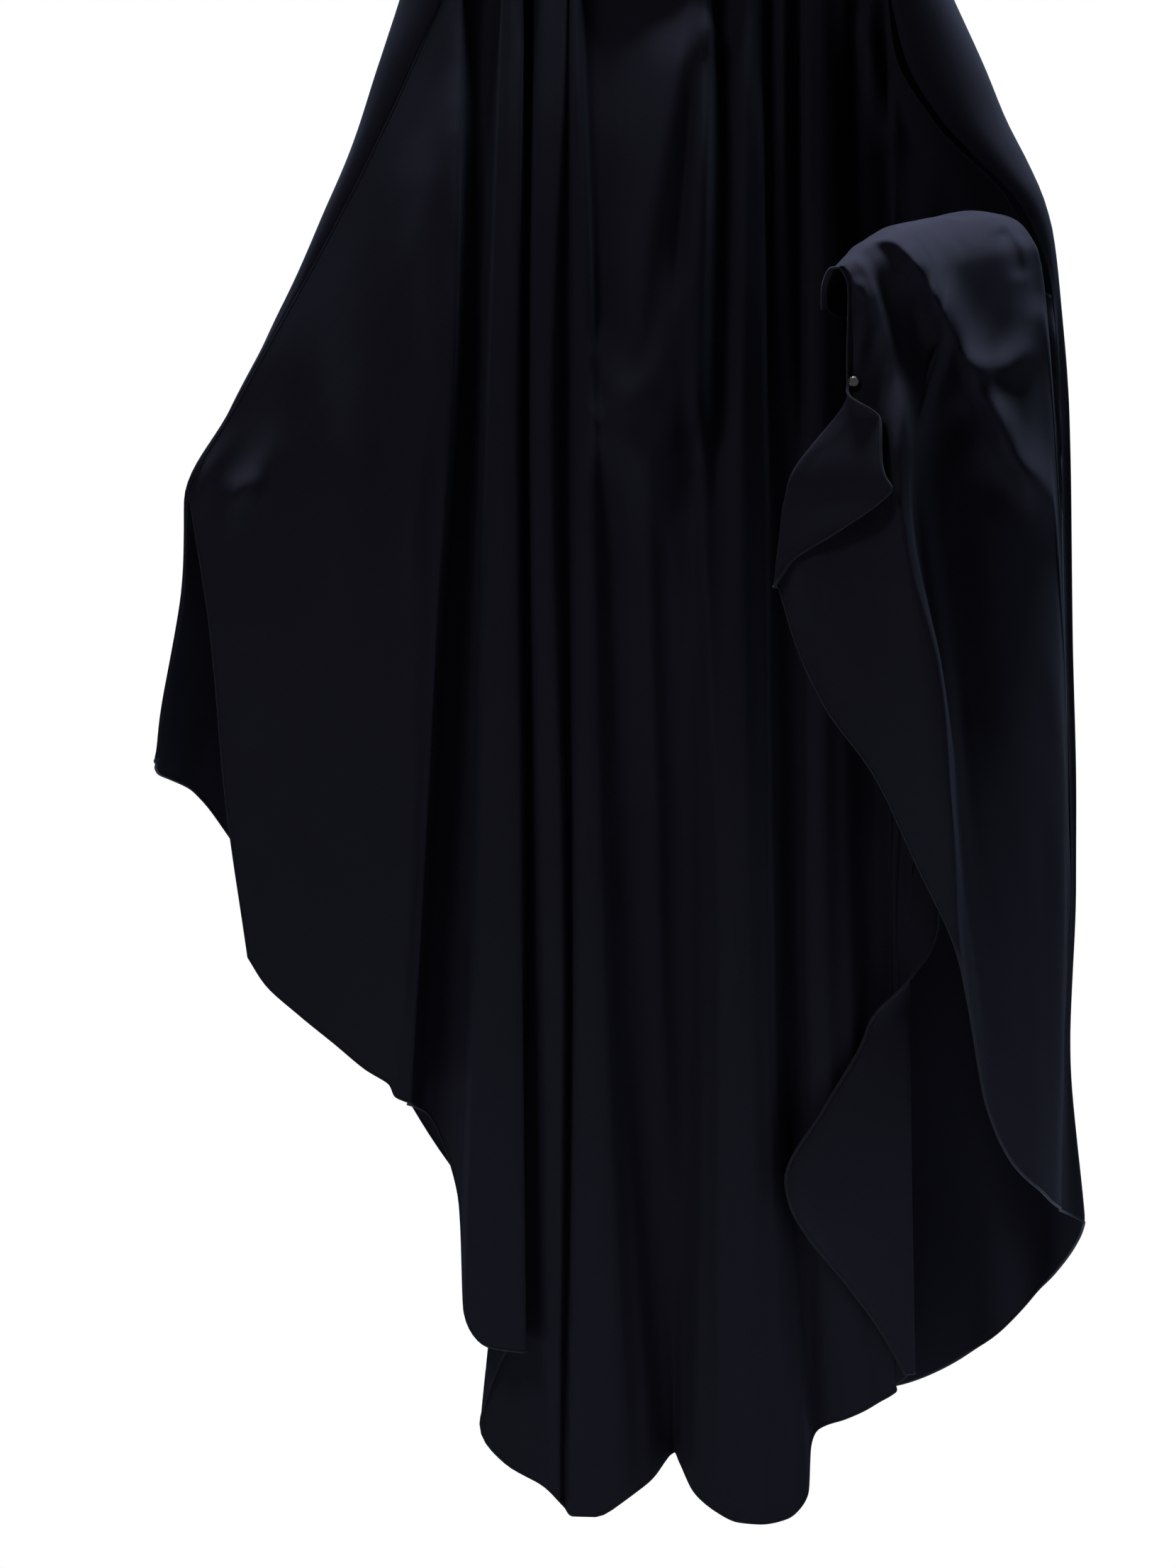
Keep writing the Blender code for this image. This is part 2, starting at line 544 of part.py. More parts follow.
def hood_angles(front_top, spans):
    """The angle of each column of the hood about its middle, from the chin round by the held-out arm's side."""
    half_width = REACH * (read(RIGHT_EDGE, 3, RING_HEIGHT) - read(LEFT_EDGE, 3, RING_HEIGHT)) / 2
    middle = REACH * (read(RIGHT_EDGE, 3, RING_HEIGHT) + read(LEFT_EDGE, 3, RING_HEIGHT)) / 2
    front = np.arcsin(np.clip((front_top[:, 0] - middle) / half_width, -1, 1))
    full = 2 * math.pi
    quarter = math.pi / 2
    ends = (front[0] - SEAM_ANGLE, -quarter, -3 * quarter, front[-1] - full + SEAM_ANGLE)
    back = np.interp(np.linspace(0, 1, spans + 1), (0, WRAP, 1 - WRAP, 1), ends)
    return np.concatenate([front, back[::-1] + full])


def hood_points(rows, front_top, back_top):
    """The hood as columns from the face rim to the shoulder seam, one column for each column of the panels."""
    angle = hood_angles(front_top, len(back_top) - 1)
    loops = []
    for _, depth, height, wide, tall, tilt in HOOD_LOOPS:
        across = np.sin(angle) * wide * HEAD_WIDTH
        up = -np.cos(angle) * tall * FACE_HEIGHT
        lean = math.radians(tilt)
        back = depth * HEAD_DEPTH + up * math.sin(lean)
        loops.append(np.stack([across, back, -height * HEAD_DEPTH + up * math.cos(lean)], axis=-1))
    lowest = np.concatenate([front_top, back_top[::-1]])
    lowest[:, 2] = RING_Z + RING_GAP / 2
    loops.append(lowest)
    at = np.linspace(0, len(loops) - 1, rows + 1)
    return smooth(np.arange(len(loops)), np.array(loops), at).swapaxes(0, 1)


def sheet_mesh(name, points, closed=False):
    """A mesh of quads over a grid of points, with its columns joined up where the sheet is closed."""
    wide, tall = points.shape[:2]
    index = np.arange(wide * tall).reshape(wide, tall)
    if closed:
        index = np.concatenate([index, index[:1]])
    faces = np.stack([index[:-1, :-1], index[:-1, 1:], index[1:, 1:], index[1:, :-1]], axis=-1).reshape(-1, 4)
    mesh = bpy.data.meshes.new(name)
    mesh.from_pydata(points.reshape(-1, 3).tolist(), [], faces.tolist())
    mesh.update()
    return mesh


def cloth(name, points, collection, closed=False):
    """An open sheet with a wall added by Solidify, half to either side."""
    mesh = sheet_mesh(name, points, closed)
    obj = bpy.data.objects.new(name, mesh)
    collection.objects.link(obj)
    wall = obj.modifiers.new("wall", "SOLIDIFY")
    wall.thickness = WALL
    wall.offset = 0.0
    mesh.shade_smooth()
    return obj


def snap_place(sleeve):
    """Where the snap's middle goes: on the sleeve's turned edge, clear of the foremost cloth behind it."""
    wrist = sleeve[FLAP_SPAN_COUNT]
    centre_x = np.interp(-height_z(SNAP_HEIGHT), -wrist[:, 2], wrist[:, 0])
    centre_z = float(height_z(SNAP_HEIGHT))
    near = sleeve[: 2 * FLAP_SPAN_COUNT]
    cells = np.stack([near[:-1, :-1], near[1:, :-1], near[:-1, 1:], near[1:, 1:]])
    part_way = np.linspace(0, 1, SNAP_LOOK_COUNT)
    foremost = []
    for along in part_way:
        for down in part_way:
            shares = np.array([(1 - along) * (1 - down), along * (1 - down), (1 - along) * down, along * down])
            point = np.tensordot(shares, cells, axes=1)
            apart = np.hypot(point[..., 0] - centre_x, point[..., 2] - centre_z)
            foremost.append(np.where(apart < SNAP_REACH, point[..., 1], 0).min())
    return (centre_x, min(foremost) - WALL / 2 - SNAP_SEAT - SNAP_THICKNESS / 2, centre_z)


def snap(name, centre, collection):
    """The snap: a low drum with a rounded front, its back SNAP_SEAT clear of the cloth."""
    mesh = bpy.data.meshes.new(name)
    shape = bmesh.new()
    bmesh.ops.create_cone(
        shape,
        cap_ends=True,
        segments=16,
        radius1=SNAP_DIAMETER / 2,
        radius2=SNAP_DIAMETER / 2 * SNAP_CROWN,
        depth=SNAP_THICKNESS,
    )
    shape.to_mesh(mesh)
    shape.free()
    obj = bpy.data.objects.new(name, mesh)
    obj.rotation_euler = (math.radians(90), 0, 0)
    obj.location = centre
    collection.objects.link(obj)
    return obj


def finish(obj):
    """Gives an object its own material."""
    material = bpy.data.materials.new(obj.name)
    material.use_nodes = True
    shader = material.node_tree.nodes["Principled BSDF"]
    shader.inputs["Base Color"].default_value = COLOURS[obj.name] + (1.0,)
    metal = obj.name == "snap_button"
    shader.inputs["Roughness"].default_value = 0.3 if metal else 0.85
    shader.inputs["Metallic"].default_value = 1.0 if metal else 0.0
    obj.data.materials.append(material)


def build():
    for obj in list(bpy.data.objects):
        bpy.data.objects.remove(obj)
    collection = bpy.data.collections.new("khimar_veil")
    bpy.context.scene.collection.children.link(collection)
    front = front_points(FRONT_ROW_COUNT)
    back = back_points(BACK_ROW_COUNT, BACK_SPAN_COUNT)
    sleeve = sleeve_points(SLEEVE_ROW_COUNT, SLEEVE_SPAN_COUNT)
    on_ring = slice(len(ARM_FOLDS) - 1, len(ARM_FOLDS) + len(RING_FOLDS) + 1)
    hood = hood_points(HOOD_ROW_COUNT, front[on_ring, 0], back[:, 0])
    pieces = [
        cloth("hood", hood, collection, closed=True),
        cloth("front_panel", front, collection),
        cloth("back_panel", back, collection),
        cloth("sleeve_drape", sleeve, collection),
    ]
    pieces.append(snap("snap_button", snap_place(sleeve), collection))
    for piece in pieces:
        finish(piece)


build()
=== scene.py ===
"""The look of the khimar veil: its cloth, hems, seams and snap, in soft studio light.

Widths are shares of REACH from the body's centre line, heights are shares of FALL below SHOULDER_Z,
and depths are shares of DEPTH, negative to the front, as in the part's own source.
"""

import math

import bpy
import numpy as np
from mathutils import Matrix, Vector


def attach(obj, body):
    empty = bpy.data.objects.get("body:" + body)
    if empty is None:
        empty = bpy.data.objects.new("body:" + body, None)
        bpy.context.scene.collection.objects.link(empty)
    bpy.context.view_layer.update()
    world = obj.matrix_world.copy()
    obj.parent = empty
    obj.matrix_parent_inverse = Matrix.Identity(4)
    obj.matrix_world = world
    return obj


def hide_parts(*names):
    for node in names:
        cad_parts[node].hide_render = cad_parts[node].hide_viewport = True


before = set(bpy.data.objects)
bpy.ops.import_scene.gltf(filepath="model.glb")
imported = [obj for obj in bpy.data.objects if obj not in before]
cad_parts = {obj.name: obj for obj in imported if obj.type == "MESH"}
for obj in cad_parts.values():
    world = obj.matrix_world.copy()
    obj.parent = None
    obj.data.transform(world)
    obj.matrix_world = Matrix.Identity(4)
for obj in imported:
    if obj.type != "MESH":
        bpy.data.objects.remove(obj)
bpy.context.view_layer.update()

# Driving sizes in metres
REACH = 0.543
FALL = 1.086
DEPTH = 0.200
FOLD = 0.040
SHOULDER_DROP = 0.350
SEAM_RISE = 0.020
HEAD_WIDTH = 0.196
HEAD_DEPTH = 0.232
FACE_HEIGHT = 0.178
WALL = 0.0012
GAP = 0.0007
RING_GAP = 0.0010
TURN_RADIUS = 0.0035
SNAP_DIAMETER = 0.0090
SNAP_THICKNESS = 0.0026
SNAP_SEAT = 0.0003
SEAM_INSET = 0.0050

FLAP_SPAN_COUNT = 5
BACK_SPAN_COUNT = 34
SHOULDER_Z = -SHOULDER_DROP
RING_Z = SHOULDER_Z + SEAM_RISE
RING_HEIGHT = -SEAM_RISE / FALL

# Where along a column its stations lie
STATIONS = (0.0, 0.30, 0.65, 1.0)

# Share of the back's width that wraps each shoulder to its seam, how round its sides are (a circle has 1), and
# how its flutes grow towards the hem and fade towards the sides
WRAP = 0.08
SIDE_POWER = 0.85
FLUTE_GROWTH = 0.7
FLUTE_SPREAD = 0.5

# Height at which the seam over the held-out arm ends, and where the front stands out most
FREE_FROM = 0.351
FRONT_MIDDLE = -0.05

# Share of a column in the crook over which it leaves its seam for the hollow
CROOK_RELAX = 0.16
INSET_FADE = 0.05

# The seam over the held-out arm, and the free edge of the back below its wrist.
# Columns: height, seam across, seam depth, side across, side depth
LEFT_EDGE = (
    (-0.0185, -0.323, -0.330, -0.392, -0.050),
    (0.000, -0.340, -0.330, -0.404, -0.060),
    (0.087, -0.418, -0.330, -0.462, -0.130),
    (0.186, -0.520, -0.330, -0.540, -0.200),
    (0.288, -0.634, -0.310, -0.643, -0.220),
    (0.351, -0.697, -0.290, -0.706, -0.210),
    (0.415, -0.703, -0.190, -0.712, -0.120),
    (0.509, -0.735, -0.110, -0.744, -0.050),
    (0.560, -0.745, -0.100, -0.754, -0.040),
)

# The seam over the bent arm, and where the back meets the sleeve's fall below the elbow.
# Columns: height, edge across, edge depth, side across, side depth
RIGHT_EDGE = (
    (-0.0185, 0.290, -0.400, 0.386, -0.050),
    (0.0385, 0.318, -0.400, 0.436, -0.080),
    (0.077, 0.363, -0.390, 0.466, -0.110),
    (0.112, 0.427, -0.370, 0.500, -0.140),
    (0.1375, 0.478, -0.350, 0.521, -0.150),
    (0.160, 0.504, -0.330, 0.533, -0.150),
    (0.200, 0.528, -0.300, 0.543, -0.130),
    (0.288, 0.542, -0.290, 0.558, -0.080),
    (0.448, 0.548, -0.270, 0.562, -0.060),
    (0.624, 0.556, -0.260, 0.568, -0.060),
    (0.752, 0.546, -0.260, 0.560, -0.060),
    (0.862, 0.541, -0.260, 0.578, -0.080),
)

# Depth of the front before its pleats.
# Columns: height, left depth, middle depth, right across, right depth
FRONT_BASE = (
    (-0.0185, -0.33, -0.60, 0.290, -0.40),
    (0.087, -0.33, -0.76, 0.370, -0.12),
    (0.160, -0.33, -0.81, 0.440, 0.06),
    (0.225, -0.33, -0.84, 0.470, 0.10),
    (0.351, -0.29, -0.86, 0.420, 0.00),
    (0.562, -0.28, -0.90, 0.340, -0.46),
    (0.676, -0.30, -0.95, 0.325, -0.70),
    (0.800, -0.33, -0.97, 0.326, -0.84),
    (1.071, -0.40, -1.02, 0.330, -0.92),
)

# Columns of the front that hang from the seam over the held-out arm.
# Columns: fold, seam height, across at the three lower stations, hem height, relief at the four stations
ARM_FOLDS = (
    ("side_edge", 0.351, -0.667, -0.646, -0.613, 0.676, 0.0, 0.0, 0.0, 0.0),
    ("cuff", 0.327, -0.632, -0.613, -0.588, 0.695, 0.0, 0.10, 0.0, 0.0),
    ("outer", 0.288, -0.590, -0.562, -0.540, 0.716, 0.0, 0.10, 0.0, 0.05),
    ("outer_valley", 0.240, -0.535, -0.505, -0.490, 0.736, 0.0, -0.05, -0.10, -0.10),
    ("ridge", 0.186, -0.482, -0.455, -0.445, 0.754, 0.0, 0.20, 0.0, 0.0),
    ("soft_valley", 0.129, -0.430, -0.412, -0.410, 0.765, 0.0, -0.10, 0.05, 0.05),
    ("inner_ridge", 0.0675, -0.380, -0.378, -0.402, 0.773, 0.05, 0.20, 0.15, 0.10),
    ("inner_valley", 0.020, -0.347, -0.360, -0.390, 0.776, 0.0, 0.0, 0.0, 0.0),
    ("shoulder", -0.0185, -0.328, -0.350, -0.380, 0.778, 0.0, 0.0, -0.05, -0.1),
)

# Columns of the front that hang from the hood.
# Columns: fold, across at the four stations, hem height, relief at the four stations
RING_FOLDS = (
    ("lit_edge", -0.312, -0.318, -0.352, -0.385, 0.779, 0.0, 0.0, -0.1, -0.2),
    ("first_valley", -0.277, -0.304, -0.334, -0.358, 0.786, -0.9, -1.1, -1.3, -1.3),
    ("valley_wall", -0.259, -0.281, -0.297, -0.312, 0.850, -0.8, -0.9, -1.1, -1.1),
    ("tongue_left", -0.250, -0.268, -0.284, -0.304, 0.925, 0.0, 0.0, 0.0, 0.0),
    ("tongue_middle", -0.238, -0.254, -0.260, -0.272, 0.948, 0.15, 0.15, 0.15, 0.15),
    ("tongue_right", -0.223, -0.231, -0.225, -0.218, 0.952, 0.05, 0.05, 0.05, 0.05),
    ("return", -0.219, -0.226, -0.222, -0.236, 0.945, -0.6, -0.6, -0.6, -0.40),
    ("under_fold", -0.215, -0.221, -0.218, -0.282, 1.004, -0.9, -0.9, -0.9, -0.62),
    ("under_lobe", -0.210, -0.216, -0.212, -0.248, 1.031, -0.7, -0.75, -0.70, -0.80),
    ("lobe_left", -0.204, -0.213, -0.203, -0.198, 1.045, -0.35, -0.45, -0.50, -0.62),
    ("second_left", -0.195, -0.209, -0.195, -0.186, 1.049, 0.0, 0.0, -0.1, -0.35),
    ("second_right", -0.162, -0.181, -0.166, -0.172, 1.056, 0.05, 0.05, 0.0, -0.30),
    ("second_valley", -0.158, -0.165, -0.157, -0.163, 1.061, -0.1, -0.7, -0.7, -0.45),
    ("third_left", -0.154, -0.149, -0.148, -0.153, 1.066, 0.0, -0.1, 0.0, 0.0),
    ("third_middle", -0.148, -0.136, -0.128, -0.120, 1.066, 0.05, 0.05, 0.1, 0.15),
    ("third_right", -0.142, -0.123, -0.106, -0.075, 1.053, -0.1, 0.0, 0.0, 0.05),
    ("cowl_left", -0.130, -0.108, -0.088, -0.040, 1.040, -0.5, -0.5, -0.8, -0.4),
    ("cowl_low_left", -0.098, -0.080, -0.060, -0.015, 1.025, -0.8, -0.2, -1.0, -1.1),
    ("cowl_middle", -0.055, -0.048, -0.030, -0.008, 1.0235, -0.7, 0.0, -0.9, -1.2),
    ("cowl_right", -0.012, -0.015, 0.002, 0.000, 1.031, -0.6, -0.3, -1.2, -0.8),
    ("gather_1_left", 0.018, 0.012, 0.032, 0.018, 1.049, -0.2, -0.4, -0.5, -0.1),
    ("gather_1", 0.038, 0.030, 0.052, 0.048, 1.062, 0.2, 0.0, 0.15, 0.15),
    ("gather_gap", 0.066, 0.058, 0.075, 0.080, 1.0695, -0.5, -0.2, 0.3, 0.3),
    ("gather_2", 0.096, 0.088, 0.100, 0.115, 1.071, 0.2, 0.1, 0.3, 0.3),
    ("gather_2_right", 0.115, 0.118, 0.124, 0.152, 1.067, 0.0, -0.2, 0.0, 0.1),
    ("gap_2", 0.122, 0.132, 0.137, 0.178, 1.050, -0.5, -0.7, -0.7, -0.3),
    ("gather_3", 0.146, 0.152, 0.153, 0.182, 1.020, 0.15, -0.8, -0.9, -0.8),
    ("gap_3", 0.167, 0.170, 0.167, 0.190, 1.009, -0.4, -0.7, -0.6, -0.9),
    ("gather_4_left", 0.176, 0.182, 0.176, 0.205, 1.004, 0.0, -0.4, -0.1, -0.75),
    ("gather_4", 0.205, 0.206, 0.205, 0.230, 1.000, 0.1, -0.2, 0.1, -0.65),
    ("gather_4_right", 0.234, 0.232, 0.240, 0.258, 0.994, 0.0, -0.4, -0.1, -0.60),
    ("gap_4", 0.244, 0.255, 0.268, 0.280, 0.9875, -0.4, -0.8, -0.5, -0.55),
    ("gather_5", 0.268, 0.285, 0.285, 0.296, 0.983, 0.1, -1.0, -0.5, -0.50),
)

# Columns of the front that hang from the seam over the bent arm, in the crook.
# Columns: fold, seam height, across at the three lower stations, hem height, relief at the four stations
CROOK_FOLDS = (
    ("crook_1", -0.0185, 0.305, 0.298, 0.303, 0.980, 0.0, -1.0, -0.5, -0.5),
    ("crook_2", 0.033, 0.318, 0.306, 0.311, 0.9765, 0.0, -0.6, -0.4, -0.5),
    ("crook_3", 0.0845, 0.352, 0.313, 0.318, 0.9735, 0.0, -0.4, -0.3, -0.45),
    ("crook_4", 0.136, 0.388, 0.319, 0.324, 0.971, 0.0, -0.3, -0.25, -0.4),
    ("crook_5", 0.180, 0.415, 0.326, 0.332, 0.968, 0.0, -0.2, -0.2, -0.4),
)

# The front's free edge, which turns over to the front below the sleeve's fall.
# Columns: height, width, angle of the turn in degrees
FRONT_TURN = (
    (0.175, 0.004, -110.0),
    (0.300, 0.020, -60.0),
    (0.400, 0.030, -30.0),
    (0.640, 0.045, 0.0),
    (0.690, 0.045, 90.0),
    (0.726, 0.060, 160.0),
    (0.780, 0.125, 160.0),
    (0.832, 0.186, 160.0),
    (0.848, 0.180, 160.0),
    (0.872, 0.150, 162.0),
    (0.9025, 0.096, 166.0),
    (0.9395, 0.040, 172.0),
    (0.968, 0.008, 176.0),
)

# Where the snap closes the two side edges, and how far round it the cloth is looked at for its seat
SNAP_HEIGHT = 0.274
SNAP_REACH = 0.6 * SNAP_DIAMETER

# The bent forearm inside the cloth, from elbow to wrist.
# Columns: share of the forearm, across, height, depth, radius up, radius out (both shares of REACH)
FOREARM = (
    (0.00, 0.480, 0.1875, -0.150, 0.068, 0.068),
    (0.15, 0.450, 0.1910, -0.360, 0.085, 0.070),
    (0.35, 0.397, 0.1985, -0.620, 0.100, 0.080),
    (0.60, 0.330, 0.2060, -0.870, 0.100, 0.080),
    (0.85, 0.262, 0.2130, -1.170, 0.078, 0.050),
    (1.00, 0.220, 0.2150, -1.350, 0.044, 0.022),
)
# The cloth's arc over the forearm in degrees above the level, from its inner to its outer side, and how much
# further up the arc starts over the part of the forearm next to the elbow
INNER_ANGLE = -20.0
OUTER_ANGLE = 160.0
ELBOW_TURN = 60.0
ELBOW_SHARE = 0.4
ARC_POINT_COUNT = 7

# Share of a column that lies on the forearm, and the shares over which its swags and its join fade in
ARM_SHARE = 0.22
SWAG_FADE = 0.10
JOIN_FADE = 0.15

# Heights between which the sleeve's fall is joined to the back
JOIN_TOP = 0.205
JOIN_LOW = 0.8555

# Columns of the cloth over the bent forearm, from its wrist to the elbow.
# Columns: fold, share of the forearm, across at three lower stations, depth there, hem height
SLEEVE_FOLDS = (
    ("wrist_edge", 1.00, 0.239, 0.152, 0.134, -1.43, -1.46, -1.43, 0.416),
    ("wrist_band", 0.95, 0.253, 0.180, 0.160, -1.45, -1.49, -1.45, 0.4575),
    ("band_valley", 0.88, 0.266, 0.225, 0.200, -1.45, -1.50, -1.46, 0.500),
    ("ridge_left", 0.80, 0.278, 0.280, 0.267, -1.48, -1.53, -1.48, 0.547),
    ("ridge", 0.73, 0.296, 0.330, 0.331, -1.55, -1.60, -1.52, 0.6145),
    ("ridge_right", 0.67, 0.314, 0.366, 0.378, -1.50, -1.56, -1.50, 0.6655),
    ("deep_valley", 0.60, 0.330, 0.378, 0.402, -1.22, -1.33, -1.37, 0.715),
    ("inner_fall", 0.50, 0.375, 0.418, 0.427, -1.10, -1.20, -1.20, 0.7775),
    ("middle_fall", 0.39, 0.440, 0.465, 0.466, -0.95, -1.00, -0.98, 0.819),
    ("outer_fall", 0.28, 0.492, 0.510, 0.508, -0.75, -0.75, -0.75, 0.840),
    ("elbow_fall", 0.15, 0.528, 0.545, 0.532, -0.50, -0.50, -0.52, 0.851),
)

# The sleeve's free edge, which turns over to the front below the snap.
# Columns: height, width, angle of the turn in degrees
SLEEVE_TURN = (
    (0.2150, 0.006, 0.0),
    (0.2740, 0.006, 60.0),
    (0.3000, 0.064, 156.0),
    (0.3400, 0.136, 158.0),
    (0.3500, 0.152, 158.0),
    (0.3560, 0.142, 158.0),
    (0.3780, 0.078, 162.0),
    (0.4020, 0.012, 160.0),
    (0.4160, 0.006, 90.0),
)

# Broad folds that cross the columns.
# Columns: fold, node, path as across and height pairs, half width, relief
SWAGS = (
    ("cowl_outer", "front",
     ((0.03, 0.02), (0.02, 0.15), (0.0, 0.27), (-0.058, 0.342), (-0.105, 0.30)), 0.022, 0.55),
    ("cowl_inner", "front",
     ((0.0, 0.03), (-0.01, 0.13), (-0.03, 0.23), (-0.066, 0.298), (-0.1, 0.25)), 0.018, 0.45),
    ("wrist_lift", "front", ((-0.66, 0.335), (-0.625, 0.343), (-0.59, 0.325)), 0.022, 0.25),
    ("arm_swag", "sleeve",
     ((0.30, 0.17), (0.33, 0.20), (0.40, 0.26), (0.465, 0.32), (0.53, 0.352)), 0.034, 0.70),
    ("crook_swag", "sleeve", ((0.43, 0.262), (0.488, 0.25), (0.52, 0.22)), 0.020, 0.25),
)

# The back's flutes and hem from the held-out arm's side to the bent arm's side.
# Columns: share round the back, hem height, flute at the hem (share of FOLD)
BACK_HEM = (
    (0.000, 0.5335, 0.0),
    (0.050, 0.5380, 0.1),
    (0.110, 0.5450, 0.0),
    (0.190, 0.5560, 0.4),
    (0.270, 0.6150, -0.5),
    (0.350, 0.7100, 0.7),
    (0.430, 0.8500, -0.8),
    (0.500, 0.9500, 0.9),
    (0.570, 1.0000, -0.9),
    (0.650, 0.9950, 0.9),
    (0.730, 0.9600, -0.9),
    (0.810, 0.9150, 0.8),
    (0.880, 0.8800, -0.5),
    (0.940, 0.8620, 0.2),
    (1.000, 0.8560, 0.0),
)

# Depth of the back: height, depth behind the shoulders' line
BACK_DEPTH = (
    (-0.0185, 0.50),
    (0.10, 0.62),
    (0.30, 0.72),
    (0.60, 0.86),
    (1.03, 1.02),
)

# Loops of the hood, from the face opening to the shoulder seam.
# Columns: loop, centre depth, centre height below the crown (shares of head depth), half width (share of head
# width), half height (share of face height), tilt in degrees
HOOD_LOOPS = (
    ("face_rim", -0.395, 0.610, 0.345, 0.500, 8.0),
    ("brow", -0.280, 0.580, 0.440, 0.645, 9.0),
    ("temple", -0.130, 0.590, 0.500, 0.765, 14.0),
    ("crown", 0.000, 0.630, 0.525, 0.840, 22.0),
    ("crown_back", 0.030, 0.715, 0.545, 0.865, 35.0),
    ("nape", 0.045, 0.850, 0.580, 0.800, 50.0),
    ("neck", 0.000, 1.080, 0.730, 0.680, 68.0),
)

# Angle about the hood's middle between the last column of one panel and the first of the next
SEAM_ANGLE = 0.02


def smooth(stations, values, at):
    """Values at the places in at, on a cubic through the stations that never overshoots them."""
    stations = np.asarray(stations, float)
    values = np.asarray(values, float)
    at = np.clip(np.asarray(at, float), stations[0], stations[-1])
    shape = (-1,) + (1,) * (values.ndim - 1)
    steps = np.diff(stations)
    slopes = np.diff(values, axis=0) / steps.reshape(shape)
    before, after = slopes[:-1], slopes[1:]
    agree = before * after > 0
    total = np.where(agree, before + after, 1.0)
    inner = np.where(agree, 2 * before * after / total, 0.0)
    tangents = np.concatenate([slopes[:1], inner, slopes[-1:]])
    low = np.clip(np.searchsorted(stations, at, side="right") - 1, 0, len(steps) - 1)
    step = steps[low]
    share = ((at - stations[low]) / step).reshape(at.shape + (1,) * (values.ndim - 1))
    step = step.reshape(share.shape)
    rest = 1 - share
    return (
        values[low] * (1 + 2 * share) * rest**2
        + tangents[low] * step * share * rest**2
        + values[low + 1] * (1 + 2 * rest) * share**2
        - tangents[low + 1] * step * rest * share**2
    )


def column(table, number):
    """One named column of a table, as an array."""
    return np.array([row[number] for row in table], float)


def read(table, number, height):
    """A column of a table of sections at these heights."""
    return smooth(column(table, 0), column(table, number), height)


def height_z(height):
    return SHOULDER_Z - np.asarray(height) * FALL


def left_seam(height):
    """Across and depth of the seam over the held-out arm."""
    return read(LEFT_EDGE, 1, height), read(LEFT_EDGE, 2, height)


def right_seam(height):
    """Across and depth of the seam over the bent arm, and of the join with the sleeve's fall below it."""
    return read(RIGHT_EDGE, 1, height), read(RIGHT_EDGE, 2, height)


def front_base(across, height):
    """Depth of the front before its pleats: a quarter sine from either side to the middle."""
    left, _ = left_seam(np.minimum(height, FREE_FROM))
    left_depth = read(FRONT_BASE, 1, height)
    middle_depth = read(FRONT_BASE, 2, height)
    right = read(FRONT_BASE, 3, height)
    right_depth = read(FRONT_BASE, 4, height)
    middle = FRONT_MIDDLE
    from_left = np.clip((across - left) / (middle - left), 0, 1)
    from_right = np.clip((right - across) / (right - middle), 0, 1)
    left_side = left_depth + (middle_depth - left_depth) * np.sin(from_left * math.pi / 2)
    right_side = right_depth + (middle_depth - right_depth) * np.sin(from_right * math.pi / 2)
    return np.where(across < middle, left_side, right_side)


def swag_relief(across, height, node):
    """Relief of the folds that cross the columns: a rounded ridge at each path, in shares of FOLD."""
    relief = np.zeros_like(across)
    for _, where, path, half_width, lift in SWAGS:
        if where != node:
            continue
        path = np.array(path)
        along = smooth(np.arange(len(path)), path, np.linspace(0, len(path) - 1, 200))
        apart = np.hypot(
            across[..., None] - along[:, 0], (height[..., None] - along[:, 1]) * FALL / REACH
        )
        near = apart.min(axis=-1) / half_width
        relief = relief + lift * np.exp(-(near**2))
    return relief


def place(across, height, depth):
    """Points in metres from shares."""
    return np.stack([across * REACH, depth * DEPTH, height_z(height)], axis=-1)


def turned_edge(edge, heights, table, spans):
    """Strips that carry an edge on past a fold: an arc of TURN_RADIUS, then flat for the table's width."""
    width = read(table, 1, heights) * REACH
    angle = np.radians(read(table, 2, heights))
    strips = []
    for number in range(1, spans + 1):
        share = number / spans
        turned = np.minimum(share * 2, 1.0) * angle
        flat = np.maximum(share * 2 - 1, 0.0) * width
        out = TURN_RADIUS * np.sin(np.abs(turned)) + flat * np.cos(angle)
        forward = TURN_RADIUS * (1 - np.cos(turned)) + flat * np.sin(np.abs(angle))
        strips.append(edge + np.stack([out, -np.sign(angle) * forward, np.zeros_like(out)], axis=-1))
    return strips


def front_points(share):
    """The front as columns, from the free edge by the held-out arm to the turned edge below the bent arm."""
    columns = []
    heights = []
    for table in (ARM_FOLDS, RING_FOLDS, CROOK_FOLDS):
        for row in table:
            if table is RING_FOLDS:
                top = RING_HEIGHT
                stations = row[1:5]
                hem = row[5]
            else:
                top = row[1]
                seam = left_seam if table is ARM_FOLDS else right_seam
                stations = (float(seam(top)[0]),) + row[2:5]
                hem = row[5]
            height = top + share * (hem - top)
            across = smooth(STATIONS, stations, share)
            relief = smooth(STATIONS, row[6:10], share)
            relief = relief + swag_relief(across, height, "front")
            depth = front_base(across, height)
            if table is CROOK_FOLDS:
                held = np.clip(1 - share / CROOK_RELAX, 0, 1) ** 2
                depth = depth + (seam(top)[1] - depth[0]) * held
            points = place(across, height, depth)
            points[:, 1] -= relief * FOLD
            if table is CROOK_FOLDS:
                points[:, 0] -= SEAM_INSET * np.clip((top - RING_HEIGHT) / INSET_FADE, 0, 1)
            if top <= RING_HEIGHT:
                points[:, 2] -= RING_GAP / 2 * (1 - share)
            columns.append(points)
            heights.append(height)
    columns += turned_edge(columns[-1], heights[-1], FRONT_TURN, FLAP_SPAN_COUNT)
    return np.array(columns)


